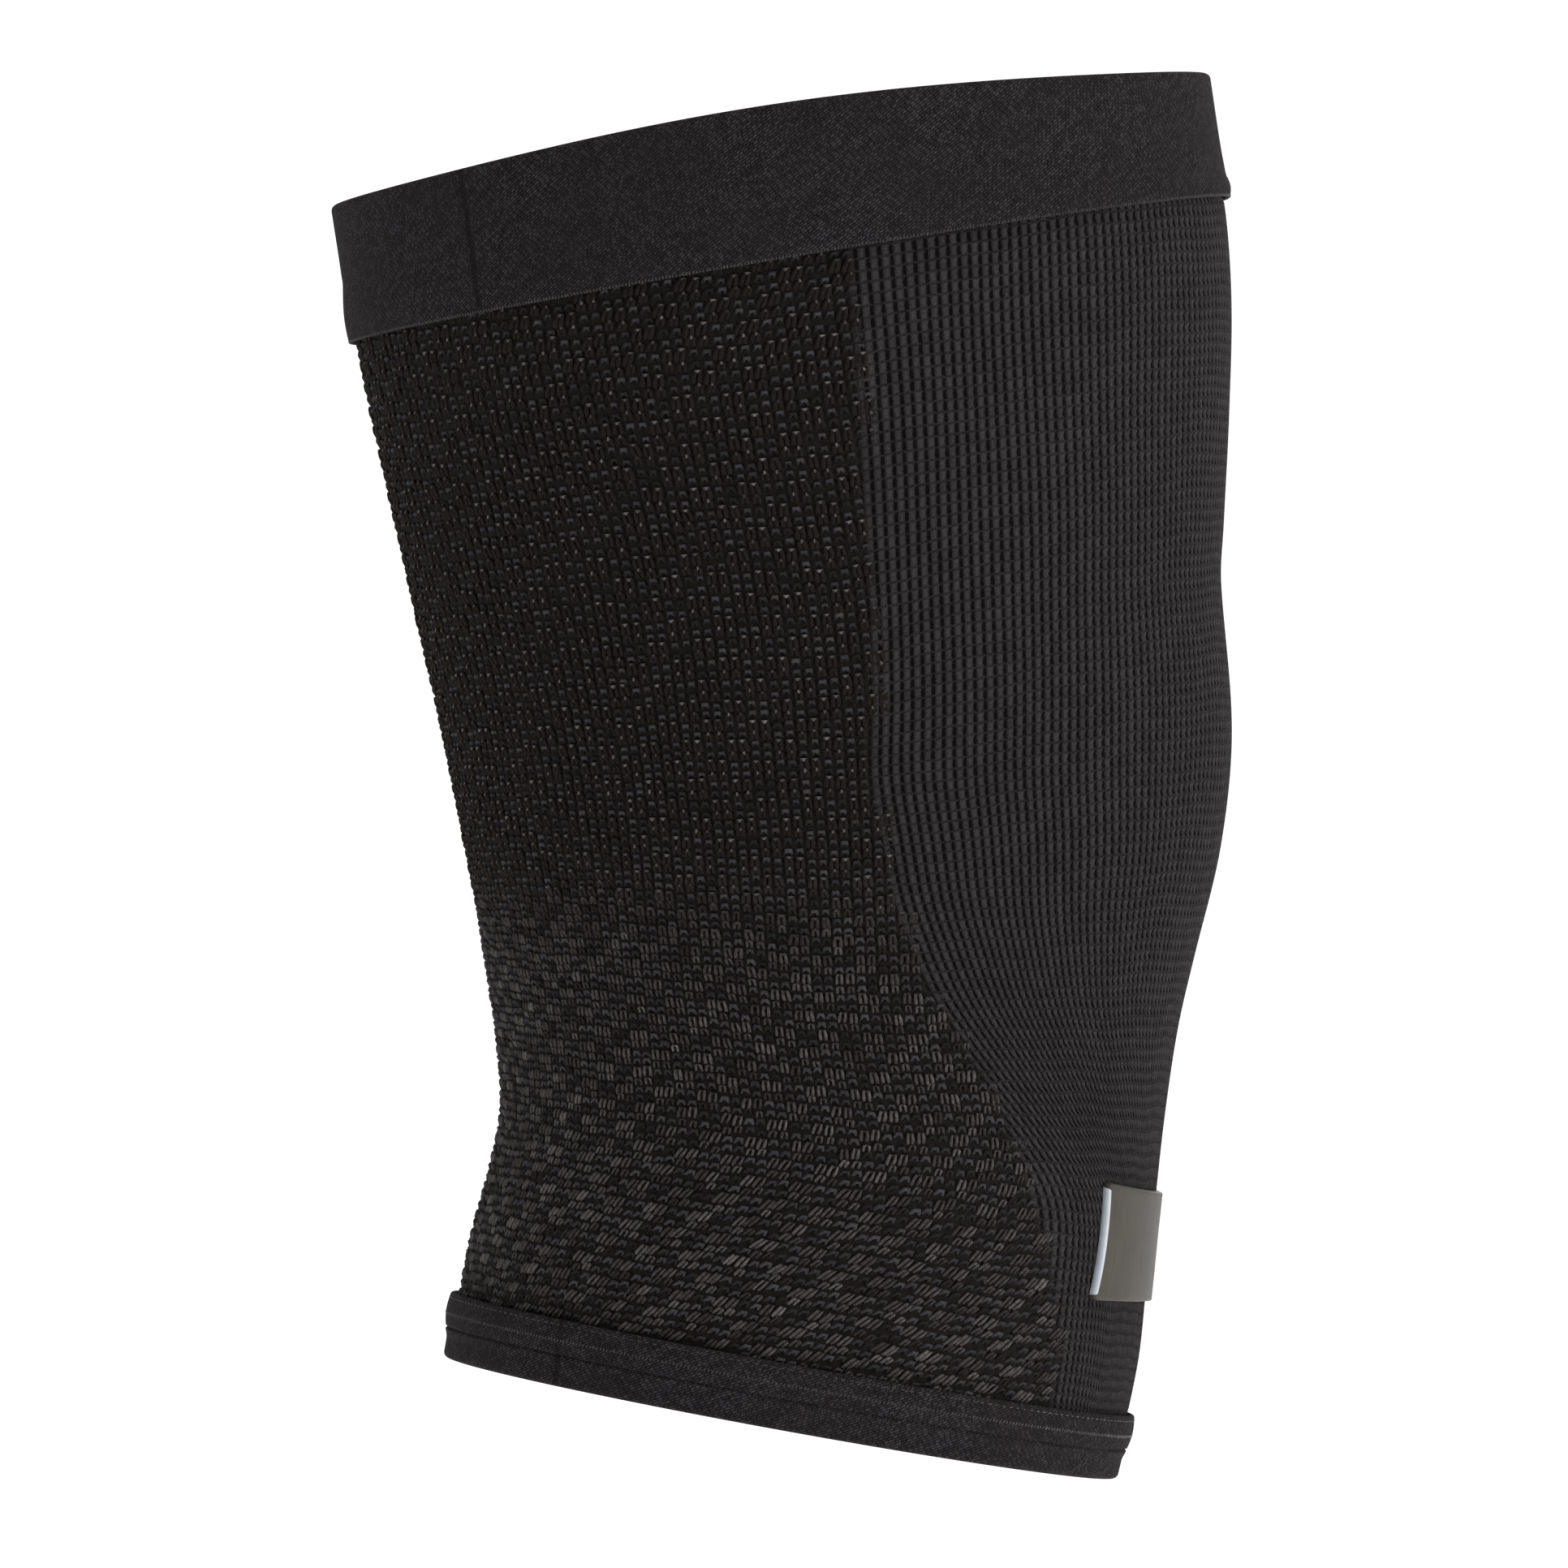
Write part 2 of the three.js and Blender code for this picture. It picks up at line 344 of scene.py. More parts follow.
class ShaderBoard:
    """A material's nodes, with a short call for each kind that the finishes use."""

    def __init__(self, name: str) -> None:
        """Starts a material that holds one Principled shader."""
        self.material = bpy.data.materials.new(name)
        self.material.use_nodes = True
        self.nodes = self.material.node_tree.nodes
        self.links = self.material.node_tree.links
        self.surface = self.nodes["Principled BSDF"]

    def feed(self, socket: bpy.types.NodeSocket, value: object) -> None:
        """Links a socket to another node's output, or sets its number or colour."""
        if isinstance(value, bpy.types.NodeSocket):
            self.links.new(value, socket)
        else:
            socket.default_value = value

    def calculate(self, operation: str, *values: object) -> bpy.types.NodeSocket:
        """Works out a Math node's operation on one to three numbers or sockets."""
        node = self.nodes.new("ShaderNodeMath")
        node.operation = operation
        for socket, value in zip(node.inputs, values):
            self.feed(socket, value)
        return node.outputs[0]

    def weigh(self, *terms: tuple[float, object]) -> bpy.types.NodeSocket:
        """Adds up weight times value for each term."""
        total: object = 0.0
        for weight, value in terms:
            node = self.nodes.new("ShaderNodeMath")
            node.operation = "MULTIPLY_ADD"
            self.feed(node.inputs[0], value)
            node.inputs[1].default_value = weight
            self.feed(node.inputs[2], total)
            total = node.outputs[0]
        return total

    def distance(self, value: object, middle: float) -> bpy.types.NodeSocket:
        """Returns how far a number is from the middle."""
        return self.calculate("ABSOLUTE", self.calculate("SUBTRACT", value, middle))

    def less_than_one(self, value: object) -> bpy.types.NodeSocket:
        """Returns 1 less the number."""
        return self.calculate("SUBTRACT", 1.0, value)

    def centred(self, value: object) -> bpy.types.NodeSocket:
        """Returns the number less one half."""
        return self.calculate("SUBTRACT", value, 0.5)

    def rise(self, value: object, low: float, high: float) -> bpy.types.NodeSocket:
        """Goes smoothly from 0 where the value is low to 1 where it is high."""
        node = self.nodes.new("ShaderNodeMapRange")
        node.interpolation_type = "SMOOTHSTEP"
        self.feed(node.inputs["Value"], value)
        node.inputs["From Min"].default_value = low
        node.inputs["From Max"].default_value = high
        return node.outputs["Result"]

    def stitches(self, across: float, along: float) -> tuple[bpy.types.NodeSocket, bpy.types.NodeSocket]:
        """Reads the UV map, counted in stitches or millimetres.

        Args:
            across: how many of them lie round the piece.
            along: how many lie along it.

        Returns:
            The count across and the count along.
        """
        source = self.nodes.new("ShaderNodeUVMap")
        source.uv_map = "UVMap"
        mapping = self.nodes.new("ShaderNodeMapping")
        mapping.inputs["Scale"].default_value = (across, along, 1.0)
        self.links.new(source.outputs["UV"], mapping.inputs["Vector"])
        split = self.nodes.new("ShaderNodeSeparateXYZ")
        self.links.new(mapping.outputs["Vector"], split.inputs[0])
        return split.outputs[0], split.outputs[1]

    def place(self) -> bpy.types.NodeSocket:
        """Returns the place on the object, in metres."""
        return self.nodes.new("ShaderNodeTexCoord").outputs["Object"]

    def attribute(self, name: str) -> bpy.types.NodeSocket:
        """Returns a number kept on the mesh."""
        node = self.nodes.new("ShaderNodeAttribute")
        node.attribute_name = name
        return node.outputs["Fac"]

    def vector(self, x: object, y: object) -> bpy.types.NodeSocket:
        """Joins two numbers into a vector."""
        node = self.nodes.new("ShaderNodeCombineXYZ")
        self.feed(node.inputs[0], x)
        self.feed(node.inputs[1], y)
        return node.outputs[0]

    def noise(self, vector: bpy.types.NodeSocket, scale: float, detail: float = 3.0) -> bpy.types.NodeSocket:
        """Returns cloudy noise from 0 to 1 at a scale."""
        node = self.nodes.new("ShaderNodeTexNoise")
        self.links.new(vector, node.inputs["Vector"])
        node.inputs["Scale"].default_value = scale
        node.inputs["Detail"].default_value = detail
        return node.outputs["Fac"]

    def chance(self, x: object, y: object) -> bpy.types.NodeSocket:
        """Returns one random number for each pair of whole numbers."""
        node = self.nodes.new("ShaderNodeTexWhiteNoise")
        node.noise_dimensions = "2D"
        self.links.new(self.vector(x, y), node.inputs["Vector"])
        return node.outputs["Value"]

    def mix(self, share: object, first: object, second: object) -> bpy.types.NodeSocket:
        """Mixes two colours, given as colours or sockets."""
        node = self.nodes.new("ShaderNodeMix")
        node.data_type = "RGBA"
        self.feed(node.inputs["Factor"], share)
        self.feed(node.inputs["A"], opaque(first))
        self.feed(node.inputs["B"], opaque(second))
        return node.outputs["Result"]

    def bump(self, height: bpy.types.NodeSocket, depth: float, strength: float = 1.0) -> None:
        """Turns a height from 0 to 1 into bumps of a depth in millimetres."""
        node = self.nodes.new("ShaderNodeBump")
        node.inputs["Strength"].default_value = strength
        node.inputs["Distance"].default_value = depth * MM
        self.links.new(height, node.inputs["Height"])
        self.links.new(node.outputs["Normal"], self.surface.inputs["Normal"])

    def gloss(self, roughness: float, specular: float, sheen: float) -> None:
        """Sets the gloss and the soft sheen of fibres, the same all over."""
        self.surface.inputs["Roughness"].default_value = roughness
        self.surface.inputs["Specular IOR Level"].default_value = specular
        self.surface.inputs["Sheen Weight"].default_value = sheen
        self.surface.inputs["Sheen Roughness"].default_value = 0.5


def opaque(colour: object) -> object:
    """Returns a colour with its fourth number, or a socket as it is."""
    return (*colour, 1.0) if isinstance(colour, tuple) else colour


@dataclass(frozen=True)
class GroundKnitFinish:
    """The ground of the knit: a slot beside each stitch, a bar across it and a knot on its crest, with
    painted shade in the slots and bars and a painted highlight on the knots.
    """

    wales: int
    courses: int
    # Painted shade: the pit colour is darker for the shadow in the slots between wales.
    pit_painted_shade: Colour = (0.0020, 0.0017, 0.0014)
    ground: Colour = (0.0150, 0.0136, 0.0141)
    # Painted highlight: the head colour is lighter for the light the knots on the crests catch.
    head_painted_highlight: Colour = (0.0345, 0.0318, 0.0334)
    # Painted shade: the ground goes darker where the modelled loops cover it.
    covered_painted_shade: Colour = (0.0075, 0.0062, 0.0055)
    slot_sides: Span = (0.24, 0.42)
    slot_ends: Span = (0.30, 0.49)
    knot_sides: Span = (0.05, 0.40)
    plain_light: float = 0.40
    # The slot and bar weights set both the dips in the bumps and painted shade in the colour.
    slot_dip_and_painted_shade: float = -0.42
    # The knot weight sets both the knot's rise in the bumps and its painted highlight.
    knot_rise_and_painted_highlight: float = 0.30
    bar_dip_and_painted_shade: float = -0.12
    fibre_light: float = 0.75
    chance_light: float = 0.15
    ground_lights: Span = (0.02, 0.40)
    head_lights: Span = (0.40, 0.95)
    fibre_scale: float = 3300.0
    roughness: float = 0.92
    specular: float = 0.05
    sheen: float = 0.02
    depth: float = 0.30

    def material(self) -> bpy.types.Material:
        """Builds the material on the count of stitches.

        A slot lies where two wales meet, and a bar crosses between it and the next. Sides and ends are
        ranges of the distance from the stitch's middle. The colour runs from pit to ground to head with
        the same height as the bumps, broken up by fibres and by a random share for each stitch. The dark
        pits and slots are painted shade, the light heads a painted highlight, and the darker tint where
        the modelled loops cover the ground is painted shade too.

        Returns:
            The material.
        """
        board = ShaderBoard("ground_knit")
        wale, course = board.stitches(self.wales, self.courses)
        covered = board.attribute("covered")
        from_crest = board.distance(board.calculate("FRACT", wale), 0.5)
        from_middle = board.distance(board.calculate("FRACT", course), 0.5)
        slot_side = board.rise(from_crest, *self.slot_sides)
        bar = board.rise(from_middle, *self.slot_ends)
        clear = board.less_than_one(bar)
        slot = board.calculate("MULTIPLY", slot_side, clear)
        crest = board.less_than_one(board.rise(from_crest, *self.knot_sides))
        knot = board.calculate("MULTIPLY", crest, clear)
        chance = board.chance(board.calculate("FLOOR", wale), board.calculate("FLOOR", course))
        fibre = board.noise(board.place(), self.fibre_scale)
        # Slots and bars between courses are darkened and knots lightened: painted shade and painted
        # highlight.
        plain = board.weigh((self.plain_light, 1.0), (self.slot_dip_and_painted_shade, slot))
        pattern = board.weigh((1.0, plain), (self.knot_rise_and_painted_highlight, knot), (self.bar_dip_and_painted_shade, bar))
        height = board.weigh((1.0, pattern), (self.fibre_light, board.centred(fibre)))
        light = board.weigh((1.0, height), (self.chance_light, board.centred(chance)))
        low = board.mix(board.rise(light, *self.ground_lights), self.pit_painted_shade, self.ground)
        bare = board.mix(board.rise(light, *self.head_lights), low, self.head_painted_highlight)
        # Painted shade: the ground under the modelled loops is mixed towards a darker tint.
        colour = board.mix(covered, bare, self.covered_painted_shade)
        board.feed(board.surface.inputs["Base Color"], colour)
        board.bump(height, self.depth)
        board.gloss(self.roughness, self.specular, self.sheen)
        return board.material


@dataclass(frozen=True)
class LoopYarnFinish:
    """The yarn of the modelled loops: dark legs, heads with a painted highlight, and legs with painted light
    where it is stretched.
    """

    name: str
    leg: Colour
    head_painted_highlight: Colour
    head_low: float = 0.70
    head_high: float = 0.98
    leg_light: float = 0.62
    arch_shade: float = 0.8
    twist: float = 3.0
    plain_grain: float = -0.10
    fibre_grain: float = 1.7
    strand_grain: float = 0.5
    full_light: float = 1.3
    fibre_scale: float = 5200.0
    fibre_bump: float = 0.9
    depth: float = 0.09
    roughness: float = 0.92
    specular: float = 0.03
    sheen: float = 0.01

    def material(self) -> bpy.types.Material:
        """Builds the material along each loop, from one foot over its head to the other foot.

        The head's share is 1 - |2u - 1| between its limits. Where the yarn is slack the head gets a
        painted highlight, where it is stretched the legs get painted light, and both are times the loop's
        tone. Fine fibres break the colour up.

        Returns:
            The material.
        """
        board = ShaderBoard(self.name)
        along, side = board.stitches(1.0, 1.0)
        nearness = board.less_than_one(board.calculate("MULTIPLY", board.distance(along, 0.5), 2.0))
        head_painted_highlight = board.rise(nearness, self.head_low, self.head_high)
        twist = board.calculate("FRACT", board.weigh((self.twist, along), (1.0, side)))
        strand = board.calculate("PINGPONG", twist, 0.5)
        fibre = board.noise(board.place(), self.fibre_scale)
        stretch_and_painted_leg_light = board.attribute("stretch_and_painted_leg_light")
        # Painted highlight on the heads of slack loops, and painted light on the legs of stretched ones,
        # darker at the arch by the arch shade.
        slack_head_painted_highlight = board.calculate("MULTIPLY", head_painted_highlight, board.less_than_one(stretch_and_painted_leg_light))
        stroke = board.weigh((self.leg_light, 1.0), (-self.arch_shade * self.leg_light, head_painted_highlight))
        lit = board.weigh((1.0, slack_head_painted_highlight), (1.0, board.calculate("MULTIPLY", stroke, stretch_and_painted_leg_light)))
        grain = board.weigh((self.plain_grain, 1.0), (self.fibre_grain, fibre), (self.strand_grain, strand))
        toned = board.calculate("MULTIPLY", lit, board.attribute("tone"))
        share = board.calculate("MULTIPLY", toned, grain)
        colour = board.mix(board.rise(share, 0.0, self.full_light), self.leg, self.head_painted_highlight)
        board.feed(board.surface.inputs["Base Color"], colour)
        board.bump(board.weigh((1.0, strand), (self.fibre_bump, fibre)), self.depth)
        board.gloss(self.roughness, self.specular, self.sheen)
        return board.material


# The head colour is a painted highlight.
RAISED_YARN = LoopYarnFinish(
    name="raised_yarn",
    leg=(0.0110, 0.0088, 0.0074),
    head_painted_highlight=(0.150, 0.140, 0.140),
)
# The head colour here is painted light on the stretched legs of the low loops.
LOW_YARN = LoopYarnFinish(
    name="low_yarn",
    leg=(0.0105, 0.0098, 0.0102),
    head_painted_highlight=(0.044, 0.043, 0.047),
    head_low=0.0,
    head_high=0.9,
    leg_light=0.9,
    arch_shade=0.0,
)


@dataclass(frozen=True)
class TwillFinish:
    """The elastic of a band: short bright dashes in lines that rise to the right."""

    name: str
    around: float
    height: float
    seam: float
    seam_width: float = 0.45
    line_pitch: float = 0.45
    line_rise: float = 27.0
    dash_length: float = 0.9
    gap: Colour = (0.0045, 0.0039, 0.0042)
    cloth: Colour = (0.0155, 0.0140, 0.0150)
    dash: Colour = (0.062, 0.056, 0.061)
    cloud_tint: Colour = (0.0120, 0.0095, 0.0098)
    line_sides: Span = (0.02, 0.42)
    dash_ends: Span = (0.0, 0.25)
    chance_shift: float = 0.55
    line_shift: float = 0.37
    body_light: float = 0.50
    chance_light: float = 0.30
    fibre_light: float = 0.9
    cloth_lights: Span = (0.0, 0.5)
    dash_lights: Span = (0.45, 1.1)
    cloud_edges: Span = (0.35, 0.75)
    cloud_share: float = 0.45
    seam_share: float = 0.6
    fibre_scale: float = 4200.0
    cloud_scale: float = 55.0
    fibre_bump: float = 0.6
    seam_bump: float = -3.0
    depth: float = 0.06
    roughness: float = 0.92
    specular: float = 0.03
    sheen: float = 0.008

    def material(self) -> bpy.types.Material:
        """Builds the material on millimetres of the band.

        A line's phase is the height less the run times the rise, over the pitch, with a whole number of
        lines met going once round. Dashes break each line, each line shifted by its own amount. The
        seam that joins the elastic's ends is a thin dark dip.

        Returns:
            The material.
        """
        board = ShaderBoard(self.name)
        rise = math.radians(self.line_rise)
        lines_round = round(self.around * math.sin(rise) / self.line_pitch)
        lines_up = self.height * math.cos(rise) / self.line_pitch
        round_count, up_count = board.stitches(lines_round, lines_up)
        phase = board.calculate("SUBTRACT", up_count, round_count)
        line = board.calculate("FLOOR", phase)
        in_line = board.calculate("PINGPONG", board.calculate("FRACT", phase), 0.5)
        dash_count, _ = board.stitches(round(self.around / self.dash_length), 1.0)
        chance_shift = board.weigh((self.chance_shift, board.chance(line, 3.0)), (self.line_shift, line))
        stepped = board.weigh((1.0, dash_count), (1.0, chance_shift))
        in_dash = board.calculate("PINGPONG", board.calculate("FRACT", stepped), 0.5)
        thick = board.rise(in_line, *self.line_sides)
        body = board.calculate("MULTIPLY", thick, board.rise(in_dash, *self.dash_ends))
        chance = board.chance(line, board.calculate("FLOOR", stepped))
        fibre = board.noise(board.place(), self.fibre_scale)
        cloud = board.noise(board.place(), self.cloud_scale)
        woven = board.weigh((self.body_light, body), (self.chance_light, chance))
        light = board.weigh((1.0, woven), (self.fibre_light, board.centred(fibre)))
        low = board.mix(board.rise(light, *self.cloth_lights), self.gap, self.cloth)
        cloth = board.mix(board.rise(light, *self.dash_lights), low, self.dash)
        clouded = board.mix(board.rise(cloud, *self.cloud_edges), cloth, self.cloud_tint)
        tinted = board.mix(self.cloud_share, cloth, clouded)
        millimetres, _ = board.stitches(self.around, 1.0)
        from_seam = board.distance(millimetres, self.seam * self.around)
        seam = board.less_than_one(board.rise(from_seam, self.seam_width / 2.0, 2.0 * self.seam_width))
        colour = board.mix(board.calculate("MULTIPLY", seam, self.seam_share), tinted, self.gap)
        board.feed(board.surface.inputs["Base Color"], colour)
        height = board.weigh((1.0, body), (self.fibre_bump, fibre), (self.seam_bump, seam))
        board.bump(height, self.depth)
        board.gloss(self.roughness, self.specular, self.sheen)
        return board.material


@dataclass(frozen=True)
class ThreadFinish:
    """Sewing thread, a little glossier and lighter than the cloth."""

    name: str = "sewing_thread"
    dark: Colour = (0.018, 0.016, 0.016)
    light: Colour = (0.075, 0.068, 0.066)
    plain_light: float = 0.4
    lights: Span = (0.2, 1.2)
    fibre_scale: float = 6000.0
    depth: float = 0.05
    roughness: float = 0.6
    specular: float = 0.3
    sheen: float = 0.1

    def material(self) -> bpy.types.Material:
        """Builds the material: fine fibres, each stitch with its own tone.

        Returns:
            The material.
        """
        board = ShaderBoard(self.name)
        fibre = board.noise(board.place(), self.fibre_scale, detail=2.0)
        grain = board.calculate("ADD", self.plain_light, fibre)
        light = board.calculate("MULTIPLY", board.attribute("tone"), grain)
        colour = board.mix(board.rise(light, *self.lights), self.dark, self.light)
        board.feed(board.surface.inputs["Base Color"], colour)
        board.bump(fibre, self.depth)
        board.gloss(self.roughness, self.specular, self.sheen)
        return board.material


@dataclass(frozen=True)
class RubberFinish:
    """Matt moulded rubber with faint streaks and specks of dust."""

    name: str
    low: Colour
    high: Colour
    across: float = 64.0
    along: float = 18.8
    streak_stretch: float = 0.12
    streak_scale: float = 1.6
    streak_share: float = 0.6
    cloud_scale: float = 180.0
    cloud_share: float = 0.4
    lights: Span = (0.25, 0.75)
    grain_scale: float = 9000.0
    grain_roughness: float = 0.14
    grain_bump: float = 0.5
    depth: float = 0.03
    roughness: float = 0.42
    specular: float = 0.16

    def material(self) -> bpy.types.Material:
        """Builds the material: streaks up the tag, with a fine grain.

        Returns:
            The material.
        """
        board = ShaderBoard(self.name)
        across, along = board.stitches(self.across, self.along)
        stretched = board.calculate("MULTIPLY", along, self.streak_stretch)
        streak = board.noise(board.vector(across, stretched), self.streak_scale, detail=4.0)
        grain = board.noise(board.place(), self.grain_scale, detail=2.0)
        cloud = board.noise(board.place(), self.cloud_scale)
        light = board.weigh((self.streak_share, streak), (self.cloud_share, cloud))
        colour = board.mix(board.rise(light, *self.lights), self.low, self.high)
        board.feed(board.surface.inputs["Base Color"], colour)
        rough = board.weigh((self.roughness, 1.0), (self.grain_roughness, grain))
        board.feed(board.surface.inputs["Roughness"], rough)
        board.bump(board.weigh((self.grain_bump, grain), (1.0, streak)), self.depth)
        board.surface.inputs["Specular IOR Level"].default_value = self.specular
        return board.material


# The knit


@dataclass(frozen=True)
class KnitLevel:
    """The knit at a height: its pitch, the angle where it turns coarse and where its blocks start.

    The loops fan out less than the ground, so they have their own angle. The tilts say how far a row
    rises for each millimetre forward, behind the leg's middle and before it.
    """

    at: float
    pitch: float
    line: float
    loop_line: float
    blocks: float
    tilt_behind: float
    tilt_before: float


# Each row holds at, pitch, line, loop_line, blocks, tilt_behind and tilt_before.
KNIT_LEVELS = (
    KnitLevel(8.0, 1.68, 30.0, 65.0, 38.0, 0.031, -0.020),
    KnitLevel(15.0, 1.68, 31.0, 64.0, 37.0, 0.031, -0.007),
    KnitLevel(23.0, 1.68, 32.0, 63.0, 38.4, 0.032, 0.010),
    KnitLevel(31.5, 1.68, 33.0, 62.0, 42.7, 0.033, 0.031),
    KnitLevel(40.0, 1.66, 33.5, 62.0, 47.0, 0.035, 0.052),
    KnitLevel(46.0, 1.63, 36.0, 63.0, 51.8, 0.034, 0.065),
    KnitLevel(50.0, 1.60, 42.0, 65.0, 54.3, 0.033, 0.075),
    KnitLevel(54.0, 1.58, 48.0, 67.0, 57.0, 0.032, 0.084),
    KnitLevel(62.0, 1.54, 60.0, 70.5, 64.0, 0.029, 0.100),
    KnitLevel(73.5, 1.56, 74.0, 74.0, 75.3, 0.021, 0.100),
    KnitLevel(87.5, 1.58, 82.0, 76.0, 82.8, 0.008, 0.096),
    KnitLevel(108.0, 1.63, 86.5, 77.0, 87.0, -0.022, 0.082),
    KnitLevel(130.0, 1.75, 85.0, 77.3, 85.4, -0.055, 0.055),
    KnitLevel(150.0, 1.84, 83.7, 77.5, 84.0, -0.085, 0.020),
    KnitLevel(170.0, 1.90, 82.3, 78.0, 82.5, -0.075, 0.0),
    KnitLevel(198.0, 1.92, 80.5, 78.0, 80.7, -0.060, 0.0),
)


@dataclass(frozen=True)
class Ripple:
    """A slow sine wave over the knit: its turns round the leg, its radians a course and its start."""

    turns: int
    radians: float
    start: float

    def at(self, turn: np.ndarray, course: np.ndarray) -> np.ndarray:
        """Returns the wave at an angle round the leg and a count of courses."""
        return np.sin(self.turns * turn + self.radians * course + self.start)


SWELLS = (Ripple(7, 0.13, 0.0), Ripple(17, -0.21, 1.3))
SWAYS = (Ripple(5, 0.23, 0.0), Ripple(-11, 0.11, 0.7))


@dataclass(frozen=True)
class StitchGrid:
    """Where each stitch lies: wales are counted round the leg from the front, courses up it.

    The knit is fine in front and coarse behind, and the wales keep their number in each part, so they
    fan out where the line between the parts runs. The courses are closer behind the knee than before it.
    """

    form: LegForm
    fine_wales: int = 52
    coarse_wales: int = 56
    courses: int = 108
    lowest: float = 10.3
    highest: float = 196.0
    levels: tuple[KnitLevel, ...] = KNIT_LEVELS
    for_loops: bool = False
    fan: float = 14.0
    coarse_start: float = 2.5
    tilt_turn: float = 18.0
    smoothing: float = 5.0
    smoothing_reach: float = 1.5
    smoothing_steps: int = 13
    height_steps: int = 800
    wave: float = 0.14

    @property
    def wales(self) -> int:
        """Returns the count of wales all round."""
        return 2 * (self.fine_wales + self.coarse_wales)

    def level_value(self, column: str, along: np.ndarray) -> np.ndarray:
        """Reads a column of the level table, with its corners rounded by averaging near each height.

        Args:
            column: the name of the column.
            along: heights along the middle line.

        Returns:
            The rounded value at each height.
        """
        heights = [level.at for level in self.levels]
        values = [getattr(level, column) for level in self.levels]
        offsets = np.linspace(-self.smoothing_reach, self.smoothing_reach, self.smoothing_steps)
        weights = np.exp(-(offsets**2))
        total = np.zeros_like(along)
        for offset, weight in zip(offsets, weights / weights.sum()):
            total = total + weight * np.interp(along + self.smoothing * offset, heights, values)
        return total

    def height(self, course: np.ndarray) -> np.ndarray:
        """Finds the height of a course at the side by adding up 1 / pitch from the lowest one.

        Args:
            course: the count of courses.

        Returns:
            Heights along the middle line.
        """
        heights = np.linspace(self.lowest, self.highest, self.height_steps)
        pitch = self.level_value("pitch", heights)
        count = np.concatenate([[0.0], np.cumsum(np.diff(heights) / ((pitch[1:] + pitch[:-1]) / 2.0))])
        return np.interp(course, count * self.courses / count[-1], heights)

    def angle(self, wale: np.ndarray, along: np.ndarray) -> np.ndarray:
        """Spreads the fine wales before the line between the parts, and the coarse ones behind it.

        Within the fan's count of wales from the line, a wale's width goes smoothly from the fine one
        to the coarse one. What that adds up to is 2·fan (t³ - t⁴/2), where t is the share of the way
        through the fan, then one coarse wale less one fine wale each. The loops' own coarse wales keep
        one width and go on past the line.

        Args:
            wale: the count of wales from the front.
            along: heights along the middle line.

        Returns:
            Angles from the front, negative on the second half of the turn.
        """
        half = self.wales // 2
        signed = (wale + half) % self.wales - half
        count = np.abs(signed)
        line = np.radians(self.level_value("loop_line" if self.for_loops else "line", along))
        fine_width = line / self.fine_wales
        coarse_width = (np.pi - line) / self.coarse_wales
        past = count - self.fine_wales
        if self.for_loops:
            spread = np.maximum(line + coarse_width * past, 0.0)
        else:
            t = np.clip((past + self.fan) / (2.0 * self.fan), 0.0, 1.0)
            widened = 2.0 * self.fan * (t**3 - t**4 / 2.0) + np.maximum(past - self.fan, 0.0)
            spread = fine_width * count + (coarse_width - fine_width) * widened
        return np.where(signed < 0.0, -1.0, 1.0) * spread

    def place(self, wale: np.ndarray, course: np.ndarray) -> tuple[np.ndarray, np.ndarray]:
        """Finds the height and angle of a place in the knit.

        A course's height at the side is tilted by its distance forward times the tilt there, and a slight
        wave runs through rows and columns.

        Args:
            wale: the count of wales.
            course: the count of courses.

        Returns:
            The height along the middle line and the angle.
        """
        level = self.height(course)
        first = self.angle(wale, level)
        forward = self.form.reach(level, first) * np.cos(first)
        behind = self.level_value("tilt_behind", level)
        before = self.level_value("tilt_before", level)
        share = smooth_step(forward, -self.tilt_turn, self.tilt_turn)
        tilted = level + forward * (behind + (before - behind) * share)
        turn = 2.0 * np.pi * wale / self.wales
        swell = sum(ripple.at(turn, course) for ripple in SWELLS)
        sway = sum(ripple.at(turn, course) for ripple in SWAYS)
        along = tilted + self.wave * swell
        return along, self.angle(wale, along) + self.wave * sway / self.form.side_reach

    def coarse_share(self, along: np.ndarray, angle: np.ndarray) -> np.ndarray:
        """Goes from 0 to 1 in the first degrees behind the line where the coarse pattern starts."""
        past = np.degrees(np.abs(angle)) - self.level_value("blocks", along)
        return smooth_step(past, 0.0, self.coarse_start)

    def in_blocks(self, wale: np.ndarray, course: np.ndarray) -> np.ndarray:
        """Tells whether a stitch is in the coarse knit's pattern, by blocks of 2 by 2 stitches."""
        along, angle = self.place(2.0 * np.floor(wale / 2.0) + 1.0, 2.0 * np.floor(course / 2.0) + 1.0)
        return np.abs(angle) > np.radians(self.level_value("blocks", along))


@dataclass(frozen=True)
class LoopKind:
    """A kind of modelled loop: its path over a stitch, its yarn and where it lies in the pattern.

    The path holds shares across and along the stitch and heights over the outer face. The yarn is
    thinner by a share where the knit is stretched.
    """

    name: str
    path: tuple[tuple[float, float, float], ...]
    yarn: float
    thinner: float
    sides: int
    tone: float
    tone_spread: float
    rows: tuple[int, ...]
    raised: bool
    seed: int


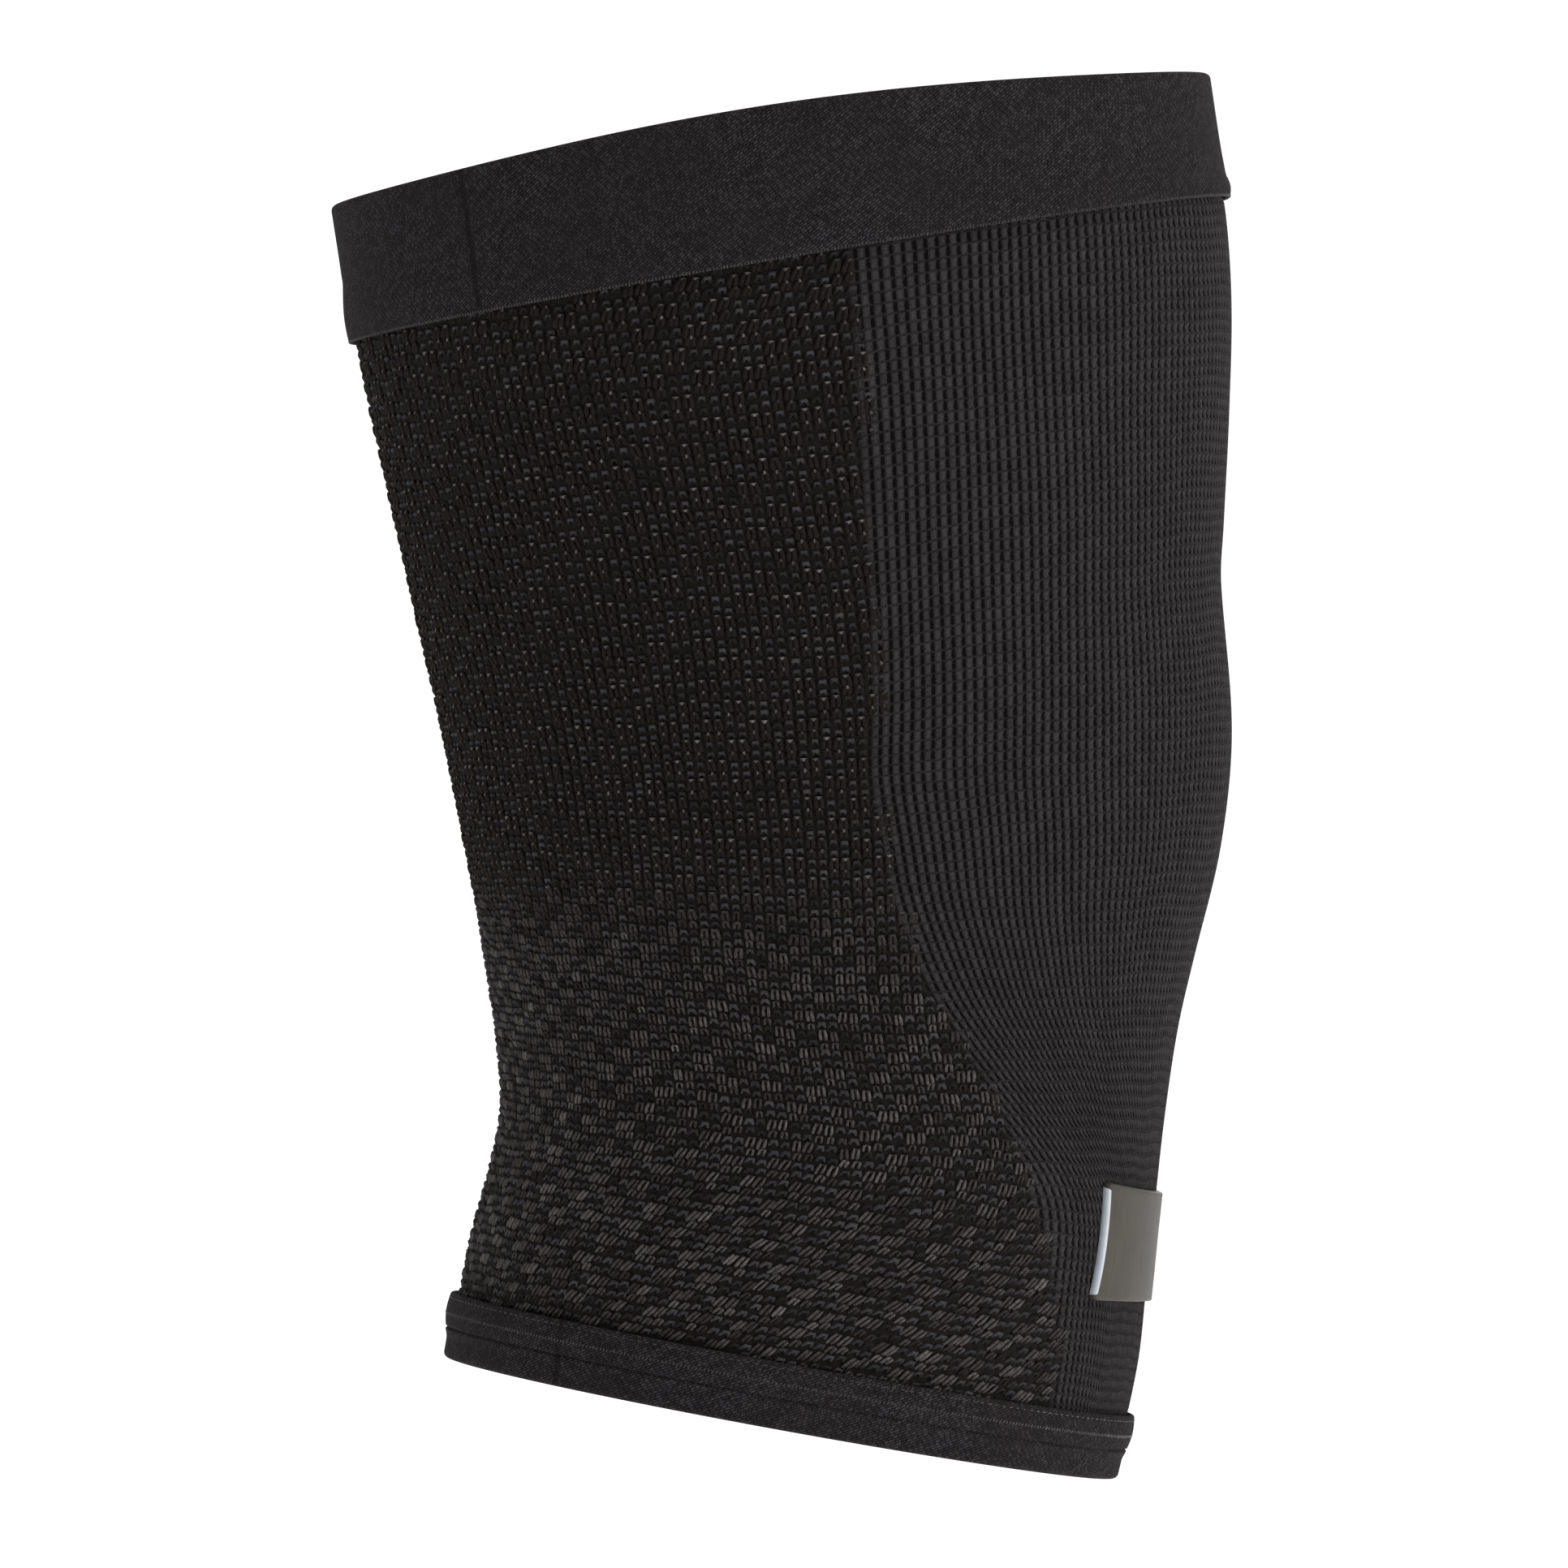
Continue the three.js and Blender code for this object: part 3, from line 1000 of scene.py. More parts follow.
TALL_LOOP = LoopKind(
    name="knit_tall_loops",
    path=(
        (0.31, -0.08, -0.55),
        (0.27, 0.40, -0.27),
        (0.33, 0.90, -0.28),
        (0.67, 0.90, -0.28),
        (0.73, 0.40, -0.27),
        (0.69, -0.08, -0.55),
    ),
    yarn=0.45, thinner=0.34, sides=5, tone=0.78, tone_spread=0.16, rows=(1,), raised=True, seed=11,
)
SMALL_LOOP = LoopKind(
    name="knit_small_loops",
    path=(
        (0.30, 0.10, -0.55),
        (0.30, 0.62, -0.24),
        (0.50, 0.76, -0.28),
        (0.70, 0.62, -0.24),
        (0.70, 0.10, -0.55),
    ),
    yarn=0.42, thinner=0.40, sides=5, tone=0.68, tone_spread=0.22, rows=(0,), raised=True, seed=12,
)
LOW_LOOP = LoopKind(
    name="knit_low_loops",
    path=((0.18, 0.28, -0.62), (0.34, 0.68, -0.28), (0.66, 0.68, -0.28), (0.82, 0.28, -0.62)),
    yarn=0.36, thinner=0.1, sides=4, tone=0.80, tone_spread=0.35, rows=(0, 1), raised=False, seed=13,
)


@dataclass
class KnitBody:
    """The knitted tube, with the modelled loops of the coarse knit behind and at the sides."""

    form: LegForm
    grid: StitchGrid
    loop_grid: StitchGrid
    wall: float = 2.0
    inner_rows: int = 6
    low: float = 0.50
    yarn_rise: float = 0.50
    bar_share: float = 0.72
    under_loops: float = 0.34
    under_band: float = 0.25
    hidden_before: float = 0.6
    hidden_past: float = 0.4
    hem_courses: float = 3.0
    loops_under: float = 0.4
    stretched_below: float = 66.0
    slack_above: float = 104.0
    slant: float = 0.70
    slanted_below: float = 30.0
    upright_above: float = 64.0
    top_slant: float = 0.45
    upright_below: float = 165.0
    slanted_above: float = 188.0
    unevenness: float = 0.08
    spread_unevenness: float = 0.07
    stretched_spread: float = 0.14
    yarn_unevenness: float = 0.08
    tone_limits: Span = (0.05, 1.6)

    def relief(self, wale: np.ndarray, course: np.ndarray, coarse: np.ndarray) -> np.ndarray:
        """Gives the ground's height over the outer face.

        It is low in the slots between wales and high on their crests, with a bar across each slot:
        low + rise (1 - (1 - crest)(1 - bar)). It lies deeper under the modelled loops.

        Args:
            wale: the count of wales.
            course: the count of courses.
            coarse: the share of the coarse knit.

        Returns:
            Heights in millimetres.
        """
        crest = 0.5 - 0.5 * np.cos(2.0 * np.pi * wale)
        bar = self.bar_share * (0.5 + 0.5 * np.cos(2.0 * np.pi * course))
        yarn = 1.0 - (1.0 - crest) * (1.0 - bar)
        return self.yarn_rise * yarn - self.low - self.under_loops * coarse

    def ground(self, bands: "dict[BandPlace, BandForm]") -> Surface:
        """Makes the tube: two samples a stitch outside, and a plain wall inside.

        Args:
            bands: the bands that cover the tube's ends.

        Returns:
            The closed surface.
        """
        columns = 2 * self.grid.wales
        wale = np.arange(columns)[:, None] / 2.0
        course = np.arange(2 * self.grid.courses + 1)[None, :] / 2.0
        along, angle = self.grid.place(wale, course)
        thigh = bands[BandPlace.THIGH]
        shin = bands[BandPlace.SHIN]
        upper = thigh.edge(angle)
        lower = shin.edge(angle)
        under_thigh = smooth_step(along, upper - self.hidden_before, upper + self.hidden_past)
        under_shin = 1.0 - smooth_step(along, lower - self.hidden_past, lower + self.hidden_before)
        hidden = np.maximum(under_thigh, under_shin)
        coarse = self.grid.coarse_share(along, angle)
        proud = self.relief(wale, course, coarse) * (1.0 - hidden) - self.under_band * hidden
        outside = self.form.point(along, angle, proud)
        bottom = self.form.point(shin.knit_end(angle[:, :1]), angle[:, :1], -self.under_band)
        top = self.form.point(thigh.knit_end(angle[:, -1:]), angle[:, -1:], -self.under_band)
        share = np.linspace(1.0, 0.0, self.inner_rows)[None, :]
        inner_angle = angle[:, -1:] * share + angle[:, :1] * (1.0 - share)
        at_back = wale == self.grid.wales / 2.0
        inner_angle = np.where(at_back, np.pi, inner_angle)
        inner_along = shin.knit_end(inner_angle) * (1.0 - share) + thigh.knit_end(inner_angle) * share
        inside = self.form.point(inner_along, inner_angle, -self.wall)
        points = np.concatenate([bottom, outside, top, inside], axis=1)
        inner_course = self.grid.courses * share[0]
        below = [-self.hem_courses]
        above = [self.grid.courses + self.hem_courses]
        cut = np.concatenate([below, course[0], above, inner_course, below])
        around_uv = np.arange(columns + 1) / columns
        cut_uv = np.tile(cut / self.grid.courses, (columns + 1, 1))
        surface = ring_surface(points, around_uv, cut_uv)
        # The covered share later darkens the ground's colour as painted shade under the loops.
        covered = np.zeros(points.shape[:2])
        covered[:, 1 : 1 + course.shape[1]] = coarse
        surface.marks["covered"] = covered
        return surface

    def stitches(self, bands: "dict[BandPlace, BandForm]", kind: LoopKind) -> tuple[np.ndarray, np.ndarray]:
        """Lists the stitches of the coarse knit that carry a kind of loop and that no band covers.

        Blocks of 2 by 2 stitches are raised where their two counts add up to an even number.

        Args:
            bands: the bands at the tube's ends.
            kind: the kind of loop.

        Returns:
            The wale and the course at each stitch's lower corner.
        """
        grid = self.loop_grid
        wale, course = np.meshgrid(np.arange(grid.wales), np.arange(grid.courses), indexing="ij")
        wale = wale.ravel()
        course = course.ravel()
        raised = (wale // 2 + course // 2) % 2 == 0
        along, angle = grid.place(wale + 0.5, course + 0.5)
        below = bands[BandPlace.SHIN].edge(angle) - self.loops_under
        above = bands[BandPlace.THIGH].edge(angle) + self.loops_under
        clear = (along > below) & (along < above)
        keep = (raised == kind.raised) & np.isin(course % 2, kind.rows) & clear
        keep &= grid.in_blocks(wale + 0.5, course + 0.5)
        return wale[keep], course[keep]

    def loops(self, bands: "dict[BandPlace, BandForm]", kind: LoopKind) -> Surface:
        """Lays one bent yarn on each of its stitches, each a little different.

        Args:
            bands: the bands at the tube's ends.
            kind: the kind of loop.

        Returns:
            One surface with all the loops.
        """
        wale, course = self.stitches(bands, kind)
        dice = np.random.default_rng(kind.seed)
        each = (len(wale), 1)
        across, up, lift = np.array(kind.path).T
        level = self.loop_grid.place(wale + 0.5, course + 0.5)[0][:, None]
        stretch_and_painted_leg_light = 1.0 - smooth_step(level, self.stretched_below, self.slack_above)
        slanted = 1.0 - smooth_step(level, self.slanted_below, self.upright_above)
        spread = dice.normal(1.0, self.spread_unevenness, each) * (1.0 + self.stretched_spread * stretch_and_painted_leg_light)
        slanted_top = smooth_step(level, self.upright_below, self.slanted_above)
        skew = dice.normal(0.0, self.unevenness, each) + self.slant * slanted + self.top_slant * slanted_top
        w = wale[:, None] + 0.5 + (across - 0.5) * spread + skew * (up - 0.5)
        c = course[:, None] + up + dice.normal(0.0, self.unevenness, each)
        along, angle = self.loop_grid.place(w, c)
        paths = self.form.point(along, angle, lift + dice.normal(0.0, self.unevenness / 2.0, each))
        thinned = 1.0 - kind.thinner * stretch_and_painted_leg_light
        yarn = kind.yarn * thinned * dice.normal(1.0, self.yarn_unevenness, each)
        radius = yarn * np.ones_like(across)
        # The stretch mark also sets where the yarn's material paints light on the legs.
        marks = {
            "tone": np.clip(dice.normal(kind.tone, kind.tone_spread, len(wale)), *self.tone_limits),
            "stretch_and_painted_leg_light": stretch_and_painted_leg_light[:, 0],
        }
        return tube_surface(paths, self.form.outward(along, angle), radius, kind.sides, marks)

    def build(self, bands: "dict[BandPlace, BandForm]") -> list[bpy.types.Object]:
        """Builds the tube and its modelled loops.

        Args:
            bands: the bands at the tube's ends.

        Returns:
            The pieces.
        """
        finish = GroundKnitFinish(self.grid.wales, self.grid.courses).material()
        body = self.ground(bands).to_piece("knit_body_cloth", [finish])
        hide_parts("knit_body")
        raised_yarn = RAISED_YARN.material()
        low_yarn = LOW_YARN.material()
        pieces = [body]
        for kind in (TALL_LOOP, SMALL_LOOP, LOW_LOOP):
            yarn = raised_yarn if kind.raised else low_yarn
            pieces.append(self.loops(bands, kind).to_piece(kind.name, [yarn]))
        for piece in pieces:
            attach(piece, "root")
        return pieces


# The bands


class BandPlace(Enum):
    """Which end of the sleeve a band closes."""

    THIGH = "thigh"
    SHIN = "shin"


@dataclass(frozen=True)
class BandForm:
    """A band's edges: its sewn edge on the knit, where the knit ends under it, and its rim.

    A groove lies where the knit ends, and the free part stands back from there to the rim.
    """

    edge_front: float
    edge_back: float
    lap_front: float
    lap_back: float
    rim_level: float
    rim_arch: float
    upwards: float
    groove: float
    set_back: float
    seam: float

    def edge(self, angle: np.ndarray) -> np.ndarray:
        """Returns the height of the sewn edge, changing evenly from the front to the back."""
        share = (1.0 + np.cos(angle)) / 2.0
        return self.edge_back + (self.edge_front - self.edge_back) * share

    def knit_end(self, angle: np.ndarray) -> np.ndarray:
        """Returns the height where the knit ends under the band."""
        share = (1.0 + np.cos(angle)) / 2.0
        return self.edge(angle) + self.upwards * (self.lap_back + (self.lap_front - self.lap_back) * share)

    def rim(self, angle: np.ndarray) -> np.ndarray:
        """Returns the height of the rim, raised at the sides of the leg by its arch times |sin|³."""
        return self.rim_level + self.rim_arch * np.abs(np.sin(angle)) ** 3


BAND_FORMS = {
    BandPlace.THIGH: BandForm(
        edge_front=216.0 - 21.1, edge_back=216.0 - 23.3, lap_front=3.7, lap_back=9.8,
        rim_level=216.0, rim_arch=3.0, upwards=1.0, groove=0.05, set_back=0.0, seam=0.6225,
    ),
    BandPlace.SHIN: BandForm(
        edge_front=11.0, edge_back=11.0, lap_front=5.6, lap_back=5.6,
        rim_level=0.0, rim_arch=0.0, upwards=-1.0, groove=0.45, set_back=0.5, seam=0.6314,
    ),
}


@dataclass
class ElasticBand:
    """A band of elastic, sewn over an end of the knit and doubled beyond it.

    One turn of its UV map along the cut stands for cut_length millimetres.
    """

    form: LegForm
    place: BandPlace
    band: BandForm
    wall: float = 1.0
    bulge: float = 0.3
    inset: float = 1.1
    clearance: float = 0.3
    rim_round: float = 0.9
    groove_at: float = 0.06
    groove_width: float = 0.035
    back_within: float = 0.5
    cut_length: float = 80.0
    turns: int = 640
    lap_rows: int = 16
    free_rows: int = 22
    round_rows: int = 5

    def cut(self) -> np.ndarray:
        """Draws the band's cut, up the outside and down the inside.

        Each row holds a share of the lap, a share of the free height beyond it, a shift towards the rim
        in millimetres, and a height over the knit's outer face. The sewn edge is a half circle, the lap
        bulges by sin(π·share), a groove lies where the knit ends, the free part stands back from the
        lap, and the rim is rounded on both sides.

        Returns:
            The rows.
        """
        outer = self.clearance + self.wall
        half = self.wall / 2.0
        quarter = np.linspace(0.0, np.pi / 2.0, self.round_rows)
        turned = np.linspace(-np.pi / 2.0, np.pi / 2.0, 2 * self.round_rows)
        rows = []
        for t in turned:
            rows.append((0.0, 0.0, half - half * math.cos(t), outer - half + half * math.sin(t)))
        for share in np.linspace(0.0, 1.0, self.lap_rows)[1:-1]:
            rows.append((share, 0.0, half * (1.0 - share), outer + self.bulge * math.sin(math.pi * share)))
        for share in np.linspace(0.0, 1.0, self.free_rows)[:-1]:
            dip = self.band.groove * math.exp(-(((share - self.groove_at) / self.groove_width) ** 2))
            back = self.band.set_back * smooth_step(share, 0.0, self.back_within)
            rows.append((1.0, share, -self.rim_round * share, outer - dip - back))
        for t in quarter:
            shift = self.rim_round * (math.sin(t) - 1.0)
            rim = outer - self.band.set_back
            rows.append((1.0, 1.0, shift, rim - self.rim_round * (1.0 - math.cos(t))))
        for t in quarter[::-1]:
            shift = self.rim_round * (math.sin(t) - 1.0)
            rows.append((1.0, 1.0, shift, self.rim_round * (1.0 - math.cos(t)) - self.inset))
        for share in (0.75, 0.5, 0.25, 0.0):
            rows.append((1.0, share, self.clearance * (1.0 - share), -self.inset))
        rows.append((1.0, 0.0, self.clearance, self.clearance))
        rows.append((0.5, 0.0, 0.0, self.clearance))
        return np.array(rows)

    def surface(self) -> Surface:
        """Carries the cut round the leg.

        Returns:
            The closed surface, with its UV in shares of the way round and of the cut's length.
        """
        lap, free, shift, proud = self.cut().T
        angle = 2.0 * np.pi * np.arange(self.turns)[:, None] / self.turns
        edge = self.band.edge(angle)
        end = self.band.knit_end(angle)
        along = edge + lap * (end - edge) + free * (self.band.rim(angle) - end) + self.band.upwards * shift
        points = self.form.point(along, angle, proud)
        around_uv = np.arange(self.turns + 1) / self.turns
        steps = np.linalg.norm(np.diff(points, axis=1), axis=-1)
        reach = np.concatenate([np.zeros((self.turns, 1)), np.cumsum(steps, axis=1)], axis=1)
        if self.band.upwards < 0:
            points = points[:, ::-1]
            reach = -reach[:, ::-1]
        reach = np.concatenate([reach, reach[:, -1:]], axis=1)
        reach = np.concatenate([reach, reach[:1]], axis=0)
        return ring_surface(points, around_uv, reach / self.cut_length)

    def around(self) -> float:
        """Returns the length once round the band's outside, in millimetres."""
        angle = np.linspace(0.0, 2.0 * np.pi, self.turns)
        height = (self.band.edge(angle) + self.band.rim(angle)) / 2.0
        points = self.form.point(height, angle, self.clearance + self.wall)
        return float(np.linalg.norm(np.diff(points, axis=0), axis=-1).sum())

    def build(self) -> bpy.types.Object:
        """Builds the band and dresses it.

        Returns:
            The piece.
        """
        name = f"{self.place.value}_elastic"
        finish = TwillFinish(name, self.around(), self.cut_length, self.band.seam).material()
        node = "top_band" if self.place is BandPlace.THIGH else "bottom_band"
        piece = self.surface().to_piece(f"{node}_elastic", [finish])
        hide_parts(node)
        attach(piece, "root")
        return piece


@dataclass
class StitchRow:
    """A row of short stitches that follows a band's edge, duller past the angle where it fades.

    Each stitch dips at its ends by the dip times the thread's radius.
    """

    form: LegForm
    band: BandForm
    name: str
    count: int
    length: float
    slant: float
    thread: float
    from_edge: float
    proud: float
    tone: float = 0.7
    fade: float = 180.0
    fade_before: float = 18.0
    fade_past: float = 12.0
    faded: float = 0.85
    uneven_place: float = 0.05
    uneven_lean: float = 0.09
    uneven_length: float = 0.08
    uneven_tone: float = 0.25
    tone_limits: Span = (0.05, 1.4)
    dip: float = 2.2
    steps: int = 5
    sides: int = 5
    seed: int = 5

    def surface(self) -> Surface:
        """Lays the stitches: each is a short arc that dips into the cloth at both ends.

        Returns:
            One surface with all the stitches.
        """
        dice = np.random.default_rng(self.seed)
        place = np.arange(self.count) + dice.normal(0.0, self.uneven_place, self.count)
        angle = 2.0 * np.pi * place / self.count
        along = self.band.edge(angle) + self.band.upwards * self.from_edge
        lean = math.radians(self.slant) + dice.normal(0.0, self.uneven_lean, self.count)
        share = np.linspace(-0.5, 0.5, self.steps)
        run = share * self.length * dice.normal(1.0, self.uneven_length, (self.count, 1))
        reach = self.form.reach(along, angle)
        here_along = along[:, None] + run * np.sin(lean)[:, None]
        here_angle = angle[:, None] + run * np.cos(lean)[:, None] / reach[:, None]
        lift = self.proud - self.dip * self.thread * (2.0 * share) ** 4
        paths = self.form.point(here_along, here_angle, lift)
        thickness = self.thread * np.ones_like(paths[..., 0])
        turned = np.degrees(np.abs((angle + np.pi) % (2.0 * np.pi) - np.pi))
        gone = smooth_step(turned, self.fade - self.fade_before, self.fade + self.fade_past)
        tone = np.clip(dice.normal(self.tone, self.uneven_tone, self.count), *self.tone_limits)
        marks = {"tone": tone * (1.0 - self.faded * gone)}
        outward = self.form.outward(here_along, here_angle)
        return tube_surface(paths, outward, thickness, self.sides, marks)

    def build(self, finish: bpy.types.Material) -> bpy.types.Object:
        """Builds the row of stitches.

        Args:
            finish: the thread's material.

        Returns:
            The piece.
        """
        piece = self.surface().to_piece(self.name, [finish])
        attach(piece, "root")
        return piece


# The tag


@dataclass
class FrontTag:
    """A thin rubber plate with rounded corners, bent round the front of the shin."""

    form: LegForm
    width: float = 64.0
    height: float = 17.2
    end_height: float = 18.8
    middle: float = 38.8
    wall: float = 1.1
    corner: float = 0.9
    bevel: float = 0.35
    bevel_start: float = 0.4
    end_slope: float = 2.5
    pinch: float = 0.024
    clearance: float = 0.0
    columns: int = 96
    corner_columns: int = 10
    rows: int = 24
    bevel_steps: int = 4

    def places(self) -> np.ndarray:
        """Returns places across the tag: even steps, and closer ones round its corners."""
        straight = self.width / 2.0 - self.corner
        even = np.linspace(-straight, straight, self.columns + 1)
        turn = np.linspace(0.0, np.pi / 2.0, self.corner_columns + 1)[1:]
        out = straight + self.corner * np.sin(turn)
        return np.concatenate([-out[::-1], even, out])

    def layer(self, inset: float, proud: float) -> np.ndarray:
        """Places one layer of the tag, drawn in all round.

        Half its height grows towards the ends with the square of the place. The corner circle's height
        takes over past the straight edge. The ends slope more than the long sides and are pinched at
        mid-height.

        Args:
            inset: how far it is drawn in.
            proud: its height over the knit's outer face.

        Returns:
            Points, columns by rows by 3.
        """
        place = self.places()
        past = np.maximum(np.abs(place) - (self.width / 2.0 - self.corner), 0.0)
        rounding = np.sqrt(np.maximum(self.corner**2 - past**2, 0.0))
        flare = (self.end_height - self.height) * (2.0 * place / self.width) ** 2
        half = (self.height + flare) / 2.0 - self.corner + rounding - inset
        share = np.linspace(-1.0, 1.0, self.rows + 1)[None, :]
        along = self.middle + half[:, None] * share
        foot = 1.0 + 2.0 * self.end_slope * (self.bevel - inset) / self.width
        across = place[:, None] * foot * (1.0 + self.pinch * (share**2 - 0.5))
        bow = self.form.reach(np.array(self.middle), np.array(0.0))
        return self.form.point(along, across / bow, proud)

    def surface(self) -> Surface:
        """Stacks the layers: a back, a side wall, a rounded bevel and the face.

        Returns:
            The closed surface, with the walls of its two ends marked as edge faces.
        """
        top = self.clearance + self.wall
        turn = np.linspace(0.0, np.pi / 2.0, self.bevel_steps + 1)
        layers = [self.layer(0.0, self.clearance)]
        for t in turn:
            inset = self.bevel * (self.bevel_start + (1.0 - self.bevel_start) * (1.0 - math.cos(t)))
            layers.append(self.layer(inset, top - self.bevel * (1.0 - math.sin(t))))
        columns, rows = layers[0].shape[:2]
        size = columns * rows
        column, row = np.meshgrid(np.arange(columns - 1), np.arange(rows - 1), indexing="ij")
        first = (column * rows + row).ravel()
        grid = np.stack([first, first + rows, first + rows + 1, first + 1], axis=-1)
        back = grid[:, ::-1]
        face = grid + size * (len(layers) - 1)
        index = np.arange(size).reshape(columns, rows)
        border = np.concatenate([index[:-1, 0], index[-1, :-1], index[:0:-1, -1], index[0, :0:-1]])
        onward = np.roll(border, -1)
        wall = [
            np.stack([border, onward, onward + size, border + size], axis=-1) + size * step
            for step in range(len(layers) - 1)
        ]
        quads = np.concatenate([back, face, *wall])
        share = np.stack(
            np.meshgrid(np.linspace(0.0, 1.0, columns), np.linspace(0.0, 1.0, rows), indexing="ij"), axis=-1
        )
        flat = np.tile(share.reshape(-1, 2), (len(layers), 1))
        # The end walls are marked for the pale material, a painted highlight.
        on_end = np.concatenate([np.zeros(columns - 1), np.ones(rows - 1)] * 2)
        edge = np.concatenate([np.zeros(len(back) + len(face)), np.tile(on_end, len(wall))])
        points = np.concatenate([layer.reshape(-1, 3) for layer in layers])
        return Surface(points, [quads], [flat[quads]], painted_highlight_faces=edge)

    def build(self) -> bpy.types.Object:
        """Builds the tag and dresses its face, and its end walls in a pale bluish colour that is a painted
        highlight.

        Returns:
            The piece.
        """
        face = RubberFinish("tag_rubber", low=(0.031, 0.027, 0.021), high=(0.048, 0.043, 0.034)).material()
        # Painted highlight: the end walls get a pale bluish colour for the light they catch.
        edge = RubberFinish("tag_rubber_painted_highlight_ends", low=(0.34, 0.37, 0.41), high=(0.44, 0.47, 0.51)).material()
        piece = self.surface().to_piece("front_tag_rubber", [face, edge])
        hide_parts("front_tag")
        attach(piece, "root")
        return piece


# The studio


@dataclass(frozen=True)
class SoftBox:
    """A large soft light, aimed at the sleeve."""

    name: str
    place: tuple[float, float, float]
    width: float
    power: float
    colour: Colour = (1.0, 1.0, 1.0)

    def build(self) -> None:
        """Makes the light, turned so that its front faces the origin."""
        lamp = bpy.data.lights.new(self.name, "AREA")
        lamp.shape = "SQUARE"
        lamp.size = self.width
        lamp.energy = self.power
        lamp.color = self.colour
        light = bpy.data.objects.new(self.name, lamp)
        light.location = self.place
        aim = -np.array(self.place)
        flat = math.hypot(aim[0], aim[1])
        light.rotation_euler = (math.atan2(flat, -aim[2]), 0.0, math.atan2(-aim[0], aim[1]))
        bpy.context.scene.collection.objects.link(light)


@dataclass
class Studio:
    """A pale floor well below the sleeve, a white surround and soft lights, in metres."""

    floor_level: float = -0.30
    floor_reach: float = 12.0
    background: float = 1.1
    ambient: float = 0.42
    boxes: tuple[SoftBox, ...] = (
        SoftBox("overhead_light", (0.1, -0.3, 1.6), 1.4, 24.0),
        SoftBox("left_light", (-1.8, -0.9, 0.4), 1.2, 3.0, (0.93, 0.96, 1.0)),
        SoftBox("right_light", (1.9, -0.9, 0.3), 1.2, 26.0),
        SoftBox("rear_light", (0.2, 1.9, 0.7), 1.6, 14.0),
    )
    floor_glow: float = 0.72
    floor_low: Colour = (0.93, 0.93, 0.93)
    floor_high: Colour = (0.97, 0.97, 0.97)
    floor_scale: float = 1.5

    def build_floor(self) -> bpy.types.Object:
        """Makes the floor: a square sheet with a pale, faintly mottled finish.

        Returns:
            The floor.
        """
        r = self.floor_reach
        z = self.floor_level
        mesh = bpy.data.meshes.new("studio_floor")
        mesh.from_pydata([(-r, -r, z), (r, -r, z), (r, r, z), (-r, r, z)], [], [(0, 1, 2, 3)])
        board = ShaderBoard("pale_floor")
        cloud = board.noise(board.place(), self.floor_scale, detail=2.0)
        colour = board.mix(cloud, self.floor_low, self.floor_high)
        board.feed(board.surface.inputs["Base Color"], colour)
        board.surface.inputs["Emission Color"].default_value = (1.0, 1.0, 1.0, 1.0)
        board.surface.inputs["Emission Strength"].default_value = self.floor_glow
        board.gloss(roughness=0.9, specular=0.1, sheen=0.0)
        mesh.materials.append(board.material)
        floor = bpy.data.objects.new("studio_floor", mesh)
        bpy.context.scene.collection.objects.link(floor)
        return floor

    def build_surround(self) -> None:
        """Makes the white surround: full white to the camera, softer as a light."""
        world = bpy.data.worlds.new("white_surround")
        world.use_nodes = True
        nodes = world.node_tree.nodes
        background = nodes["Background"]
        path = nodes.new("ShaderNodeLightPath")
        strength = nodes.new("ShaderNodeMapRange")
        strength.inputs["To Min"].default_value = self.ambient
        strength.inputs["To Max"].default_value = self.background
        world.node_tree.links.new(path.outputs["Is Camera Ray"], strength.inputs["Value"])
        world.node_tree.links.new(strength.outputs["Result"], background.inputs["Strength"])
        background.inputs["Color"].default_value = (1.0, 1.0, 1.0, 1.0)
        bpy.context.scene.world = world

    def build(self) -> None:
        """Makes the floor, the surround and the lights, and shows colours as they are."""
        self.build_floor()
        self.build_surround()
        for box in self.boxes:
            box.build()
        bpy.context.scene.view_settings.view_transform = "Standard"


